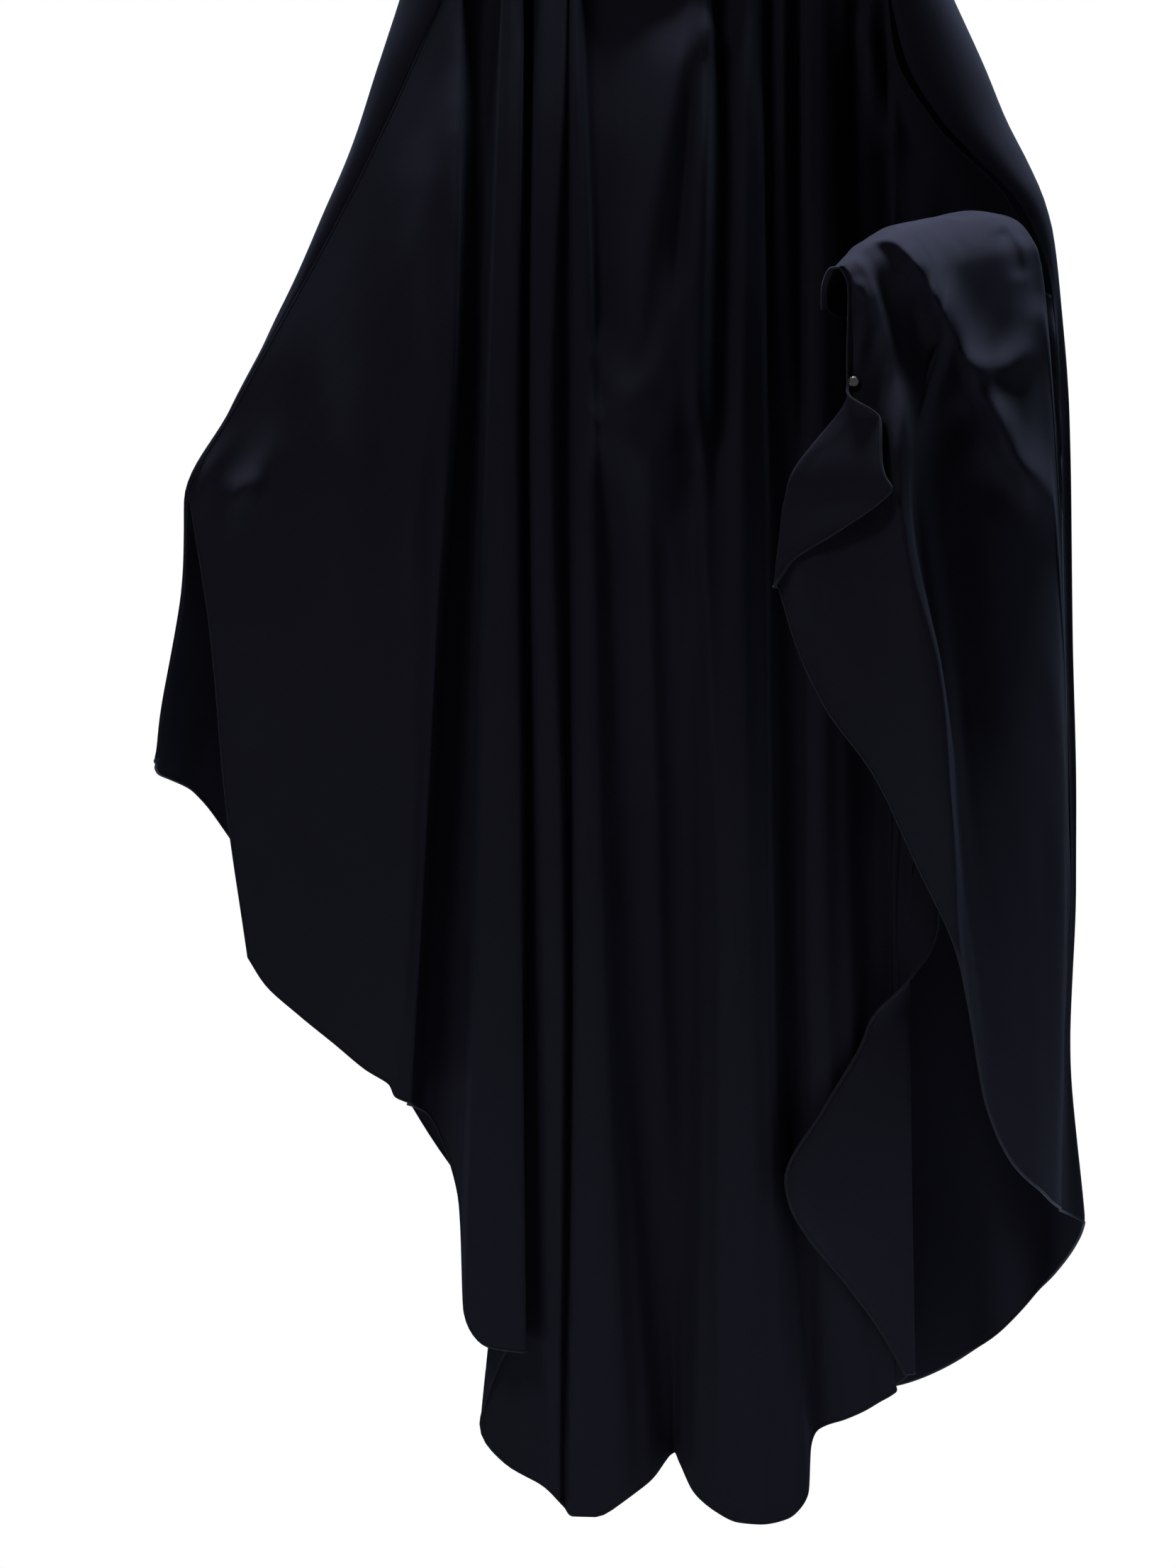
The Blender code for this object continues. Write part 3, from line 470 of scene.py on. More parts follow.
def back_points(share, spans):
    """The back as columns of points, round from the held-out arm's seam to the join below the bent elbow."""
    share = share[None, :]
    round_back = np.linspace(0, 1, spans + 1)[:, None]
    top = RING_HEIGHT
    hem = smooth(column(BACK_HEM, 0), column(BACK_HEM, 1), round_back[:, 0])[:, None]
    flute = smooth(column(BACK_HEM, 0), column(BACK_HEM, 2), round_back[:, 0])[:, None]
    height = top + share * (hem - top)
    wrap = WRAP
    into_left = np.clip(round_back / wrap, 0, 1) * math.pi / 2
    into_right = np.clip((1 - round_back) / wrap, 0, 1) * math.pi / 2
    behind = np.clip((round_back - wrap) / (1 - 2 * wrap), 0, 1) * math.pi
    left_x, left_y = read(LEFT_EDGE, 1, height), read(LEFT_EDGE, 2, height)
    left_side_x, left_side_y = read(LEFT_EDGE, 3, height), read(LEFT_EDGE, 4, height)
    right_x, right_y = right_seam(height)
    right_side_x, right_side_y = read(RIGHT_EDGE, 3, height), read(RIGHT_EDGE, 4, height)
    depth = read(BACK_DEPTH, 1, height)
    middle = (left_side_x + right_side_x) / 2
    half = (right_side_x - left_side_x) / 2
    side_y = left_side_y + (right_side_y - left_side_y) * behind / math.pi
    back_x = middle - half * np.sign(np.cos(behind)) * np.abs(np.cos(behind)) ** SIDE_POWER
    back_y = side_y + (depth - side_y) * np.sin(behind) ** SIDE_POWER
    across = np.where(round_back < wrap, left_x + (left_side_x - left_x) * np.sin(into_left), back_x)
    deep = np.where(round_back < wrap, left_y + (left_side_y - left_y) * (1 - np.cos(into_left)), back_y)
    joined = np.clip((height - JOIN_TOP) / JOIN_FADE + 0.5, 0, 1)
    out = np.sin(into_right) * (1 - joined) + (1 - np.cos(into_right)) * joined
    behind_edge = (1 - np.cos(into_right)) * (1 - joined) + np.sin(into_right) * joined
    across = np.where(round_back > 1 - wrap, right_x + (right_side_x - right_x) * out, across)
    deep = np.where(round_back > 1 - wrap, right_y + (right_side_y - right_y) * behind_edge, deep)
    points = place(across, height, deep)
    points[..., 1] += flute * FOLD * share**FLUTE_GROWTH * np.sin(behind) ** FLUTE_SPREAD
    points[..., 1] += (WALL + GAP) * (round_back < wrap) * np.cos(into_left)
    points[..., 0] -= (WALL + GAP) * (round_back < wrap) * np.cos(into_left)
    points[..., 0] += (WALL + GAP) * (round_back > 1 - wrap) * np.cos(into_right) * (1 - joined)
    points[..., 2] -= RING_GAP / 2 * (1 - share)
    return points


def sleeve_points(share, spans):
    """The cloth over the bent forearm as columns, from the turned edge at the wrist to the elbow's join."""
    along = REACH * np.array([read(FOREARM, 1, 1.0) - read(FOREARM, 1, 0.0)])
    forward = DEPTH * np.array([read(FOREARM, 3, 1.0) - read(FOREARM, 3, 0.0)])
    length = np.hypot(along, forward)
    out_x, out_y = -forward / length, along / length
    columns = []
    heights = []
    for row in SLEEVE_FOLDS:
        place_on_arm = row[1]
        centre_x = read(FOREARM, 1, place_on_arm) * REACH
        centre_z = height_z(read(FOREARM, 2, place_on_arm))
        centre_y = read(FOREARM, 3, place_on_arm) * DEPTH
        radius_up = read(FOREARM, 4, place_on_arm) * REACH
        radius_out = read(FOREARM, 5, place_on_arm) * REACH
        start = INNER_ANGLE + (ELBOW_TURN * (1 - place_on_arm) if place_on_arm < ELBOW_SHARE else 0.0)
        angle = np.radians(np.linspace(start, OUTER_ANGLE, ARC_POINT_COUNT))
        side = -np.cos(angle) * radius_out
        arc = np.stack(
            [centre_x + side * out_x, centre_y + side * out_y, centre_z + np.sin(angle) * radius_up], axis=-1
        )
        fall_share = np.array(STATIONS[1:])
        top = float(read(FOREARM, 2, place_on_arm))
        fall = place(np.array(row[2:5]), top + fall_share * (row[8] - top), np.array(row[5:8]))
        path = np.concatenate([arc, fall])
        at = np.concatenate([np.linspace(0, ARM_SHARE, len(arc)), ARM_SHARE + (1 - ARM_SHARE) * fall_share])
        points = smooth(at, path, share)
        columns.append(points)
    join_heights = JOIN_TOP + share * (JOIN_LOW - JOIN_TOP)
    join_x, join_y = right_seam(join_heights)
    join = place(join_x, join_heights, join_y)
    columns.append(join)
    columns = np.array(columns)
    at = np.linspace(0, len(columns) - 1, (len(columns) - 1) * spans + 1)
    columns = smooth(np.arange(len(columns)), columns, at)
    across = columns[..., 0] / REACH
    height = (SHOULDER_Z - columns[..., 2]) / FALL
    front_side = np.clip((share[None, :] - ARM_SHARE / 2) / SWAG_FADE, 0, 1)
    from_join = np.clip(np.linspace(1, 0, len(columns)) / JOIN_FADE, 0, 1)[:, None]
    columns[..., 1] -= swag_relief(across, height, "sleeve") * FOLD * front_side * from_join
    heights = (SHOULDER_Z - columns[0][:, 2]) / FALL
    strips = turned_edge(columns[0] * (-1, 1, 1), heights, SLEEVE_TURN, FLAP_SPAN_COUNT)
    strips = [strip * (-1, 1, 1) for strip in strips]
    return np.concatenate([np.array(strips[::-1]), columns])


def hood_angles(front_top, spans):
    """The angle of each column of the hood about its middle, from the chin round by the held-out arm."""
    half_width = REACH * (read(RIGHT_EDGE, 3, RING_HEIGHT) - read(LEFT_EDGE, 3, RING_HEIGHT)) / 2
    middle = REACH * (read(RIGHT_EDGE, 3, RING_HEIGHT) + read(LEFT_EDGE, 3, RING_HEIGHT)) / 2
    front = np.arcsin(np.clip((front_top[:, 0] - middle) / half_width, -1, 1))
    full = 2 * math.pi
    quarter = math.pi / 2
    ends = (front[0] - SEAM_ANGLE, -quarter, -3 * quarter, front[-1] - full + SEAM_ANGLE)
    back = np.interp(np.linspace(0, 1, spans + 1), (0, WRAP, 1 - WRAP, 1), ends)
    return np.concatenate([front, back[::-1] + full])


def hood_points(rows, front_top, back_top):
    """The hood as columns from the face rim to the shoulder seam, one column for each column of the panels."""
    angle = hood_angles(front_top, len(back_top) - 1)
    loops = []
    for _, depth, height, wide, tall, tilt in HOOD_LOOPS:
        across = np.sin(angle) * wide * HEAD_WIDTH
        up = -np.cos(angle) * tall * FACE_HEIGHT
        lean = math.radians(tilt)
        back = depth * HEAD_DEPTH + up * math.sin(lean)
        loops.append(np.stack([across, back, -height * HEAD_DEPTH + up * math.cos(lean)], axis=-1))
    lowest = np.concatenate([front_top, back_top[::-1]])
    lowest[:, 2] = RING_Z + RING_GAP / 2
    loops.append(lowest)
    at = np.linspace(0, len(loops) - 1, rows + 1)
    return smooth(np.arange(len(loops)), np.array(loops), at).swapaxes(0, 1)


# Fold edges and creases that lie on the cloth, over its broad form.
# Columns: fold, piece, path as across and height in photograph thousandths, width on the side to the left of
# travel, width on the side to the right of travel, share of the widths left at the end, lift (metres; a crease
# has a negative lift)
EDGES = (
    ("cowl_roll", "front",
     ((834, 520), (850, 598), (876, 642), (910, 656), (948, 638), (976, 580), (990, 470)),
     0.026, 0.010, 1.0, 0.014),
    ("cowl_inner", "front", ((852, 500), (866, 548), (888, 572), (908, 562), (926, 520), (940, 440)),
     0.018, 0.008, 1.0, 0.007),
    ("cowl_pleat", "front", ((972, -40), (948, 150), (928, 280), (912, 400), (904, 500)),
     0.007, 0.040, 0.4, 0.016),
    ("cowl_gap", "front", ((1000, 0), (978, 170), (962, 300), (952, 420)), 0.010, 0.010, 0.6, -0.016),
    ("arm_ridge_1", "front", ((608, 180), (560, 420), (488, 738)), 0.020, 0.030, 0.7, 0.006),
    ("arm_ridge_2", "front", ((644, 90), (636, 300), (614, 540), (548, 870)), 0.016, 0.026, 0.7, 0.007),
    ("wrist_bump", "front", ((312, 702), (338, 688), (366, 696)), 0.012, 0.010, 1.0, 0.008),
    ("crease_1", "front", ((1022, 0), (1018, 200), (1016, 400), (1010, 700)), 0.007, 0.007, 1.0, -0.014),
    ("crease_2", "front", ((1079, 0), (1080, 200), (1083, 400), (1088, 700)), 0.005, 0.005, 1.0, -0.012),
    ("crease_3", "front", ((1121, 0), (1124, 200), (1130, 400), (1134, 600)), 0.005, 0.005, 1.0, -0.012),
    ("crease_4", "front", ((1200, 0), (1200, 200), (1202, 400), (1206, 560)), 0.007, 0.007, 1.0, -0.014),
    ("crook_edge", "front", ((1210, 0), (1232, 80), (1252, 150), (1272, 215)), 0.010, 0.010, 1.0, 0.012),
    ("second_layer", "sleeve", ((1168, 388), (1188, 377), (1206, 386), (1218, 410), (1232, 445), (1262, 580),
                                (1280, 680), (1302, 790), (1332, 1000), (1352, 1200), (1368, 1376)),
     0.006, 0.030, 1.0, 0.010),
    ("second_valley", "sleeve",
     ((1290, 430), (1298, 540), (1314, 660), (1332, 790), (1352, 960), (1366, 1150)),
     0.024, 0.010, 1.0, -0.016),
    ("third_layer", "sleeve", ((1200, 357), (1229, 343), (1260, 352), (1284, 378), (1310, 424), (1344, 494),
                               (1382, 570), (1424, 650), (1466, 702), (1512, 716)), 0.050, 0.005, 1.0, 0.011),
    ("third_roll", "sleeve", ((1200, 350), (1231, 334), (1266, 342), (1298, 370), (1326, 418), (1360, 490),
                              (1396, 562), (1436, 636), (1476, 684), (1512, 694)), 0.012, 0.010, 1.0, 0.008),
    ("third_valley", "sleeve", ((1272, 396), (1296, 444), (1328, 514), (1366, 592), (1408, 672), (1452, 730)),
     0.008, 0.016, 1.0, -0.010),
    ("elbow_crescent", "sleeve", ((1396, 530), (1438, 516), (1466, 476), (1474, 415)),
     0.020, 0.009, 1.0, 0.011),
    ("elbow_crease", "sleeve", ((1412, 318), (1432, 350), (1446, 390)), 0.007, 0.010, 1.0, -0.010),
    ("cuff_edge", "sleeve", ((1196, 402), (1214, 432), (1211, 480), (1200, 530)), 0.006, 0.005, 1.0, 0.005),
)

# The draped cowl's sides and foot, and the width over which its evening out fades (shares of REACH and FALL)
COWL_LEFT = -0.135
COWL_RIGHT = 0.045
COWL_FOOT = 0.385
COWL_FADE = 0.030
COWL_PASSES = 9

# Places looked at along a fold edge, how many of them its ends fade over, and the share of its lift left there
EDGE_SAMPLES = 90
EDGE_FADE = 14
END_SHARE = 0.2

CLOTH_WALL = 0.0010
HEM_RADIUS = 0.0011
PIPING_RADIUS = 0.0014
ARM_STEP = 0.0075
PLEAT_STEP = 0.0036
CROOK_STEP = 0.0050
TURN_STEP = 0.0060
SLEEVE_FINER = 11
BACK_FINER = 5
FRONT_LENGTHS = 158
SLEEVE_LENGTHS = 190
BACK_LENGTHS = 90
HOOD_LENGTHS = 60

# How steeply a pleat falls from its ridge, and the height of each piece's gentle unevenness in metres
PLEAT_CRISPNESS = 0.75
FRONT_WAVE = 0.0010
BACK_WAVE = 0.0015
SLEEVE_WAVE = 0.0008


def finer_places(points, steps):
    """Where to put more columns: each gap is cut into equal spans no longer than its step."""
    wide = np.linalg.norm(np.diff(points, axis=0), axis=-1).mean(axis=1)
    spans = np.maximum(2, np.ceil(wide / np.asarray(steps))).astype(int)
    places = [np.linspace(number, number + 1, count, endpoint=False) for number, count in enumerate(spans)]
    return np.concatenate(places + [[len(points) - 1.0]])


def finer(points, at, crisp):
    """More columns between the given ones, with flat ridges and wide floors.

    Across and height follow a smooth curve. Depth leaves the nearer, forward column quickly and arrives at the
    deeper one slowly: a share of 1 - (1 - s)^3 from ridge to floor, mixed with the smooth curve by crisp.
    """
    even = smooth(np.arange(len(points)), points, at)
    low = np.minimum(at.astype(int), len(points) - 2)
    share = (at - low)[:, None]
    near, far = points[low, :, 1], points[low + 1, :, 1]
    falls = far > near
    steep = np.where(falls, 1 - (1 - share) ** 3, share**3)
    deep = near + (far - near) * steep
    even[..., 1] += (deep - even[..., 1]) * crisp
    for _ in range(2):
        even[1:-1, :, 1] = 0.25 * even[:-2, :, 1] + 0.5 * even[1:-1, :, 1] + 0.25 * even[2:, :, 1]
    return even


def normals_of(points):
    """The outward direction at each point of a grid: the cross product of its steps along and down."""
    along = np.gradient(points, axis=0)
    down = np.gradient(points, axis=1)
    across = np.cross(along, down)
    length = np.linalg.norm(across, axis=-1, keepdims=True)
    return across / np.maximum(length, 1e-12)


def outward(points, towards):
    """The directions square to a grid, turned as a whole to the side that most of them share with towards."""
    normals = normals_of(points)
    return normals * np.sign((normals @ np.array(towards, float)).mean())


def edge_lift(points, piece):
    """How far each point is raised by the fold edges: a bell over the signed distance from each edge's path.

    The path is a smooth curve, the bell has its own width on either side, and it fades at the path's ends.
    """
    lift = np.zeros(points.shape[:2])
    for _, where, path, left_width, right_width, narrowing, height in EDGES:
        if where != piece:
            continue
        path = np.array(path, float)
        last = EDGE_SAMPLES - 1
        line = smooth(np.arange(len(path)), path, np.linspace(0, len(path) - 1, EDGE_SAMPLES))
        line_x = (line[:, 0] - 960) / 1000 * REACH
        line_z = height_z(line[:, 1] / 2000)
        step_x, step_z = np.gradient(line_x), np.gradient(line_z)
        length = np.hypot(step_x, step_z)
        off_x = points[..., 0, None] - line_x
        off_z = points[..., 2, None] - line_z
        apart = np.hypot(off_x, off_z)
        nearest = apart.argmin(axis=-1)
        pick = np.take_along_axis
        side = pick(off_z * (step_x / length) - off_x * (step_z / length), nearest[..., None], -1)[..., 0]
        apart = pick(apart, nearest[..., None], -1)[..., 0]
        apart = np.where((nearest > 0) & (nearest < last), np.abs(side), apart)
        width = np.where(side > 0, left_width, right_width) * (1 + (narrowing - 1) * nearest / last)
        ends = np.clip(np.minimum(nearest, last - nearest) / EDGE_FADE, 0, 1)
        lift += height * np.exp(-((apart / width) ** 2)) * (END_SHARE + (1 - END_SHARE) * ends)
    return lift * np.clip((RING_Z - points[..., 2]) / SEAM_RISE, 0, 1)


def evened(points, passes, share):
    """Depths evened out where share is 1: half of each and a quarter of either neighbour, both ways."""
    deep = points[..., 1].copy()
    for _ in range(passes):
        deep[1:-1] = 0.25 * deep[:-2] + 0.5 * deep[1:-1] + 0.25 * deep[2:]
        deep[:, 1:-1] = 0.25 * deep[:, :-2] + 0.5 * deep[:, 1:-1] + 0.25 * deep[:, 2:]
    return points[..., 1] + (deep - points[..., 1]) * share


def cowl_share(points):
    """1 over the draped cowl and 0 away from it, with a straight fade at its sides and foot."""
    across = points[..., 0] / REACH
    height = (SHOULDER_Z - points[..., 2]) / FALL
    inside = np.minimum((across - COWL_LEFT) / COWL_FADE, (COWL_RIGHT - across) / COWL_FADE)
    return np.clip(np.minimum(inside, (COWL_FOOT - height) / COWL_FADE), 0, 1)


def waves(shape, seed, cells):
    """Gentle unevenness on a grid: random heights on a coarse lattice, with a cosine between its nodes."""
    random = np.random.default_rng(seed)
    lattice = random.uniform(-1, 1, (cells[0] + 2, cells[1] + 2))
    along = np.linspace(0, cells[0], shape[0])
    down = np.linspace(0, cells[1], shape[1])
    first, second = along.astype(int), down.astype(int)
    blend_along = (0.5 - 0.5 * np.cos((along - first) * math.pi))[:, None]
    blend_down = (0.5 - 0.5 * np.cos((down - second) * math.pi))[None, :]
    corner = lattice[np.ix_(first, second)]
    right = lattice[np.ix_(first + 1, second)]
    below = lattice[np.ix_(first, second + 1)]
    far = lattice[np.ix_(first + 1, second + 1)]
    top = corner * (1 - blend_along) + right * blend_along
    bottom = below * (1 - blend_along) + far * blend_along
    return top * (1 - blend_down) + bottom * blend_down


def grid_piece(name, points, material, closed=False, wall=CLOTH_WALL):
    """A smooth-shaded sheet over a grid of points, with a thin wall."""
    wide, tall = points.shape[:2]
    index = np.arange(wide * tall).reshape(wide, tall)
    if closed:
        index = np.concatenate([index, index[:1]])
    faces = np.stack([index[:-1, :-1], index[:-1, 1:], index[1:, 1:], index[1:, :-1]], axis=-1).reshape(-1, 4)
    mesh = bpy.data.meshes.new(name)
    mesh.from_pydata(points.reshape(-1, 3).tolist(), [], faces.tolist())
    mesh.shade_smooth()
    obj = bpy.data.objects.new(name, mesh)
    bpy.context.scene.collection.objects.link(obj)
    obj.data.materials.append(material)
    if wall:
        modifier = obj.modifiers.new("wall", "SOLIDIFY")
        modifier.thickness = wall
        modifier.offset = 0.0
    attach(obj, "root")
    return obj


def tube(name, path, radius, material, closed=False, sides=8):
    """A round cord along a path: a circle in the plane square to each point's direction of travel."""
    path = np.asarray(path)
    if closed:
        ahead = np.roll(path, -1, axis=0) - np.roll(path, 1, axis=0)
    else:
        ahead = np.gradient(path, axis=0)
    ahead /= np.maximum(np.linalg.norm(ahead, axis=-1, keepdims=True), 1e-12)
    side = np.cross(ahead, np.array([0.31, 0.95, 0.05]))
    side /= np.linalg.norm(side, axis=-1, keepdims=True)
    other = np.cross(ahead, side)
    turn = np.linspace(0, 2 * math.pi, sides, endpoint=False)[None, :, None]
    rings = path[:, None] + radius * (side[:, None] * np.cos(turn) + other[:, None] * np.sin(turn))
    count = len(path)
    index = np.arange(count * sides).reshape(count, sides)
    index = np.concatenate([index, index[:, :1]], axis=1)
    if closed:
        index = np.concatenate([index, index[:1]])
    corners = [index[:-1, :-1], index[1:, :-1], index[1:, 1:], index[:-1, 1:]]
    faces = np.stack(corners, axis=-1).reshape(-1, 4).tolist()
    if not closed:
        faces.append(list(range(sides)))
        faces.append(list(range((count - 1) * sides, count * sides))[::-1])
    mesh = bpy.data.meshes.new(name)
    mesh.from_pydata(rings.reshape(-1, 3).tolist(), [], faces)
    mesh.shade_smooth()
    obj = bpy.data.objects.new(name, mesh)
    bpy.context.scene.collection.objects.link(obj)
    obj.data.materials.append(material)
    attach(obj, "root")
    return obj


def crepe(name, colour, tint, sheen=0.008, rough=0.70):
    """Black crepe: a near-black ground, a soft cool sheen, and a pebbled grain from one noise that bumps it
    and varies its colour.
    """
    material = bpy.data.materials.new(name)
    material.use_nodes = True
    nodes = material.node_tree.nodes
    links = material.node_tree.links
    shader = nodes["Principled BSDF"]
    shader.inputs["Roughness"].default_value = rough
    shader.inputs["Specular IOR Level"].default_value = 0.0
    shader.inputs["Sheen Weight"].default_value = sheen
    shader.inputs["Sheen Roughness"].default_value = 0.45
    shader.inputs["Sheen Tint"].default_value = tint + (1.0,)
    place_of = nodes.new("ShaderNodeTexCoord")
    grain = nodes.new("ShaderNodeTexNoise")
    grain.inputs["Scale"].default_value = 1500.0
    grain.inputs["Detail"].default_value = 3.0
    links.new(place_of.outputs["Object"], grain.inputs["Vector"])
    bump = nodes.new("ShaderNodeBump")
    bump.inputs["Strength"].default_value = 0.25
    bump.inputs["Distance"].default_value = 0.0004
    links.new(grain.outputs["Fac"], bump.inputs["Height"])
    links.new(bump.outputs["Normal"], shader.inputs["Normal"])
    ramp = nodes.new("ShaderNodeValToRGB")
    ramp.color_ramp.elements[0].position = 0.35
    ramp.color_ramp.elements[0].color = tuple(0.8 * part for part in colour) + (1.0,)
    ramp.color_ramp.elements[1].position = 0.65
    ramp.color_ramp.elements[1].color = tuple(1.2 * part for part in colour) + (1.0,)
    links.new(grain.outputs["Fac"], ramp.inputs["Fac"])
    links.new(ramp.outputs["Color"], shader.inputs["Base Color"])
    return material


def plain(name, colour, rough, metallic=0.0):
    """A plain shader of one colour."""
    material = bpy.data.materials.new(name)
    material.use_nodes = True
    shader = material.node_tree.nodes["Principled BSDF"]
    shader.inputs["Base Color"].default_value = colour + (1.0,)
    shader.inputs["Roughness"].default_value = rough
    shader.inputs["Metallic"].default_value = metallic
    return material


def hem_shares(count, bunch=1.0):
    """Places down a column: steps that grow by the power bunch, then four short ones inside the hem."""
    return np.concatenate([np.linspace(0, 1, count - 4) ** bunch * 0.988, [0.991, 0.994, 0.997, 1.0]])


def soft_light(name, place_at, aim, size, power, colour):
    """A square area light that faces its aim."""
    data = bpy.data.lights.new(name, "AREA")
    data.size = size
    data.energy = power
    data.color = colour
    obj = bpy.data.objects.new(name, data)
    obj.location = place_at
    obj.rotation_euler = (Vector(aim) - Vector(place_at)).to_track_quat("-Z", "Y").to_euler()
    obj.visible_camera = False
    bpy.context.scene.collection.objects.link(obj)


FLOOR_Z = -1.68
FLOOR_RADIUS = 1.75
FLOOR_FADE = 0.95
FLOOR_RING_COUNT = 12
FLOOR_SIDE_COUNT = 96
SURROUND_SEEN = 1.0
SURROUND_LIGHT = 0.03

# Broad square lights in front, overhead and behind.
# Columns: name, place and aim in metres, size in metres, power in watts, colour
LIGHTS = (
    ("key", (-1.6, -2.6, 1.5), (-0.05, 0.0, -0.8), 0.9, 66.0, (0.93, 0.91, 1.0)),
    ("over", (0.2, 0.45, 1.7), (0.08, -0.05, -0.6), 1.0, 700.0, (0.82, 0.90, 1.0)),
    ("back_fill", (1.3, 3.6, 0.6), (0.0, 0.0, -0.8), 1.6, 60.0, (0.93, 0.91, 1.0)),
)


def floor_look():
    """A pale floor that is solid in the middle and fades out over its last stretch towards the edge."""
    material = plain("pale_floor", (0.86, 0.86, 0.86), 0.9)
    nodes = material.node_tree.nodes
    links = material.node_tree.links
    place_at = nodes.new("ShaderNodeTexCoord")
    away = nodes.new("ShaderNodeVectorMath")
    away.operation = "LENGTH"
    fade = nodes.new("ShaderNodeMapRange")
    fade.interpolation_type = "SMOOTHSTEP"
    fade.inputs["From Min"].default_value = FLOOR_RADIUS - FLOOR_FADE
    fade.inputs["From Max"].default_value = FLOOR_RADIUS
    clear = nodes.new("ShaderNodeBsdfTransparent")
    blend = nodes.new("ShaderNodeMixShader")
    links.new(place_at.outputs["Object"], away.inputs[0])
    links.new(away.outputs["Value"], fade.inputs["Value"])
    links.new(fade.outputs["Result"], blend.inputs["Fac"])
    links.new(nodes["Principled BSDF"].outputs["BSDF"], blend.inputs[1])
    links.new(clear.outputs["BSDF"], blend.inputs[2])
    links.new(blend.outputs["Shader"], nodes["Material Output"].inputs["Surface"])
    return material


def pale_floor():
    """A round floor below the hem: rings of points that grow evenly from the middle to the edge."""
    away = np.linspace(0.02, 1, FLOOR_RING_COUNT)[:, None] * FLOOR_RADIUS
    turn = np.linspace(0, 2 * math.pi, FLOOR_SIDE_COUNT, endpoint=False)[None, :]
    points = np.stack(np.broadcast_arrays(away * np.cos(turn), away * np.sin(turn), 0.0), axis=-1)
    index = np.arange(FLOOR_RING_COUNT * FLOOR_SIDE_COUNT).reshape(FLOOR_RING_COUNT, FLOOR_SIDE_COUNT)
    beside = np.roll(index, -1, axis=1)
    faces = np.stack([index[:-1], index[1:], beside[1:], beside[:-1]], axis=-1).reshape(-1, 4).tolist()
    faces.append(index[0].tolist())
    mesh = bpy.data.meshes.new("pale_floor")
    mesh.from_pydata(points.reshape(-1, 3).tolist(), [], faces)
    mesh.materials.append(floor_look())
    obj = bpy.data.objects.new("pale_floor", mesh)
    obj.location = (0, 0, FLOOR_Z)
    bpy.context.scene.collection.objects.link(obj)


def white_surround():
    """A white surround that lights the cloth only faintly: the kind of ray picks its strength."""
    world = bpy.data.worlds.new("studio")
    world.use_nodes = True
    nodes = world.node_tree.nodes
    background = nodes["Background"]
    background.inputs["Color"].default_value = (1.0, 1.0, 1.0, 1.0)
    ray = nodes.new("ShaderNodeLightPath")
    strength = nodes.new("ShaderNodeMapRange")
    strength.inputs["To Min"].default_value = SURROUND_LIGHT
    strength.inputs["To Max"].default_value = SURROUND_SEEN
    world.node_tree.links.new(ray.outputs["Is Camera Ray"], strength.inputs["Value"])
    world.node_tree.links.new(strength.outputs["Result"], background.inputs["Strength"])
    bpy.context.scene.world = world


def studio():
    """A pale floor in a white surround, with the soft lights."""
    pale_floor()
    white_surround()
    for light in LIGHTS:
        soft_light(*light)
    bpy.context.scene.view_settings.view_transform = "Standard"


CAMERA_AWAY = 9.0
CAMERA_X = -0.0710
CAMERA_Z = -0.9506
FRAME_HEIGHT = 2212 * REACH / 1000
MEAN_DEPTH = -0.15


def camera():
    """A long lens, straight on and level with the middle of the frame, whose height it has at the front."""
    data = bpy.data.cameras.new("camera")
    data.sensor_fit = "AUTO"
    data.sensor_width = 36.0
    data.lens = 36.0 * CAMERA_AWAY / FRAME_HEIGHT
    data.clip_end = 60.0
    obj = bpy.data.objects.new("camera", data)
    obj.location = (CAMERA_X, MEAN_DEPTH - CAMERA_AWAY, CAMERA_Z)
    obj.rotation_euler = (math.radians(90), 0, 0)
    bpy.context.scene.collection.objects.link(obj)
    bpy.context.scene.camera = obj


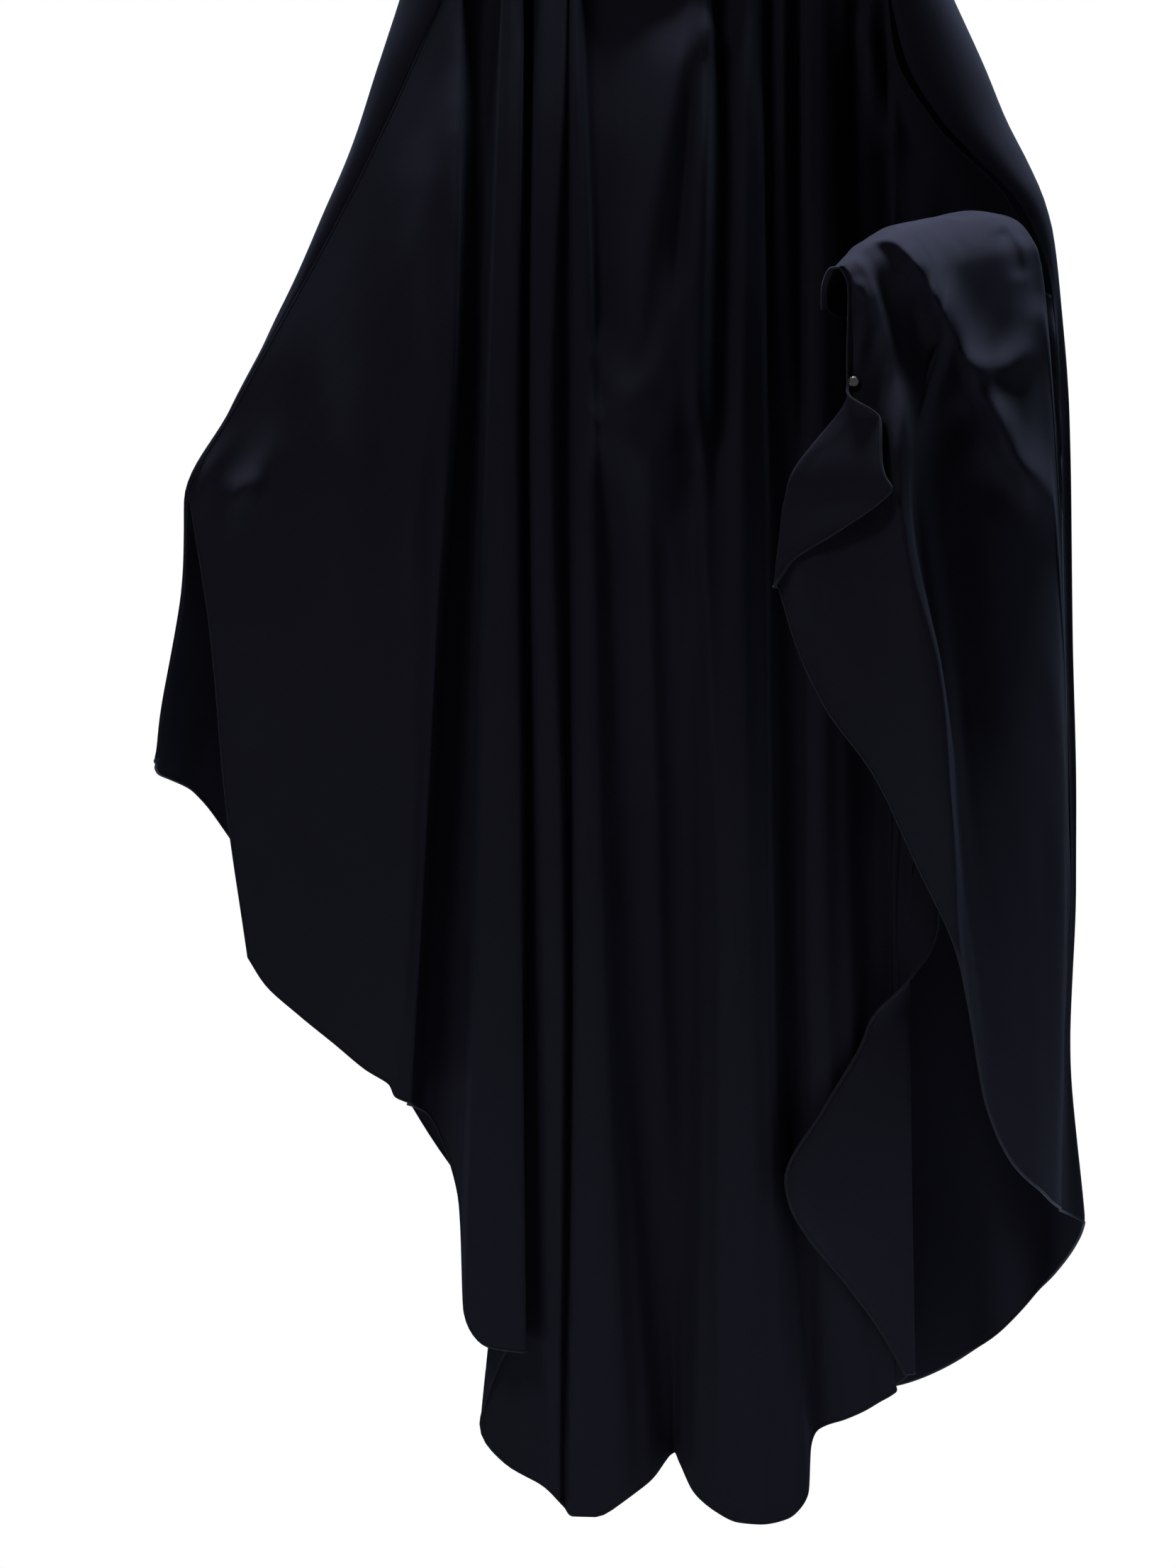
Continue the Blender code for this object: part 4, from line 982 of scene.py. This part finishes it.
def dress():
    """Builds every cloth piece over its CAD node, with its hems, pipings and snap."""
    cloth_look = crepe("black_crepe", (0.0066, 0.0064, 0.0092), (0.62, 0.74, 1.0))
    # The back panel's crepe is a little darker than the front's: painted shade on the back of the same cloth.
    back_shaded_look = crepe("black_crepe_back_painted_shade", (0.0060, 0.0059, 0.0085), (0.62, 0.74, 1.0))
    # The rolled hems' crepe has a lighter colour than the cloth, a painted highlight along the hems' edges,
    # and more sheen, which the shader computes itself.
    hem_highlight_look = crepe("rolled_hem_painted_highlight", (0.0075, 0.0078, 0.0095), (0.7, 0.8, 1.0), sheen=0.06)
    share = hem_shares(FRONT_LENGTHS, 1.25)
    coarse_front = front_points(share)
    arm_gaps, pleat_gaps = len(ARM_FOLDS), len(RING_FOLDS)
    steps = [ARM_STEP] * arm_gaps + [PLEAT_STEP] * pleat_gaps + [CROOK_STEP] * (len(CROOK_FOLDS) - 1)
    steps += [TURN_STEP] * FLAP_SPAN_COUNT
    front_at = finer_places(coarse_front, steps)
    past_arm = np.clip((front_at - arm_gaps + 1) / 2, 0, 1)
    before_flap = np.clip((len(steps) - FLAP_SPAN_COUNT - front_at) / 2, 0, 1)
    front = finer(coarse_front, front_at, PLEAT_CRISPNESS * (past_arm * before_flap)[:, None])
    front[..., 1] = evened(front, COWL_PASSES, cowl_share(front))
    front[..., 1] -= edge_lift(front, "front") + FRONT_WAVE * waves(front.shape, 3, (60, 18))
    front[..., 1] = evened(front, COWL_PASSES // 3, cowl_share(front))
    back_share = hem_shares(BACK_LENGTHS)
    back = back_points(back_share, BACK_SPAN_COUNT * BACK_FINER)
    back += outward(back, (0, 1, 0)) * BACK_WAVE * waves(back.shape, 5, (34, 10))[..., None]
    coarse_sleeve = sleeve_points(hem_shares(SLEEVE_LENGTHS), 1)
    sleeve_at = np.linspace(0, len(coarse_sleeve) - 1, (len(coarse_sleeve) - 1) * SLEEVE_FINER + 1)
    sleeve = smooth(np.arange(len(coarse_sleeve)), coarse_sleeve, sleeve_at)
    hanging = np.arange(len(sleeve)) >= FLAP_SPAN_COUNT * SLEEVE_FINER
    away = outward(sleeve, (0, -1, 0))
    facing = np.clip(-1.3 * away[..., 1], 0, 1)
    raised = edge_lift(sleeve, "sleeve") * hanging[:, None] * facing
    sleeve[..., 1] -= raised
    sleeve += away * SLEEVE_WAVE * waves(sleeve.shape, 8, (24, 14))[..., None]
    first = int(np.searchsorted(front_at, len(ARM_FOLDS) - 1))
    last = int(np.searchsorted(front_at, len(ARM_FOLDS) + len(RING_FOLDS))) + 1
    hood = hood_points(HOOD_LENGTHS, front[first:last, 0], back[:, 0])
    pieces = {
        "hood": grid_piece("hood_cloth", hood, cloth_look, closed=True),
        "front_panel": grid_piece("front_cloth", front, cloth_look),
        "back_panel": grid_piece("back_cloth", back, back_shaded_look),
        "sleeve_drape": grid_piece("sleeve_cloth", sleeve, cloth_look),
    }
    for node, piece in pieces.items():
        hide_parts(node)
    rim = tube("face_rim_hem", hood[:, 0], HEM_RADIUS * 1.2, hem_highlight_look, closed=True)
    ring = hood[:, -1] - [0, 0, RING_GAP / 2]
    ring_piping = tube("ring_seam", ring, PIPING_RADIUS, cloth_look, closed=True)
    front_edge = np.concatenate([front[0], front[:, -1], front[-1, ::-1]])
    front_hem = tube("front_hem", front_edge, HEM_RADIUS, hem_highlight_look)
    back_hem = tube("back_hem", back[:, -1], HEM_RADIUS, hem_highlight_look)
    sleeve_edge = np.concatenate([sleeve[0], sleeve[:, -1]])
    sleeve_hem = tube("sleeve_hem", sleeve_edge, HEM_RADIUS, hem_highlight_look)
    left_top = front[: first + 1, 0]
    arm_seam = tube("held_out_arm_seam", left_top + [-WALL, WALL, 0], PIPING_RADIUS, cloth_look)
    bpy.data.objects["snap_button"].data.materials[0] = plain("bright_snap", (0.75, 0.74, 0.72), 0.25, 1.0)


camera()
studio()
dress()
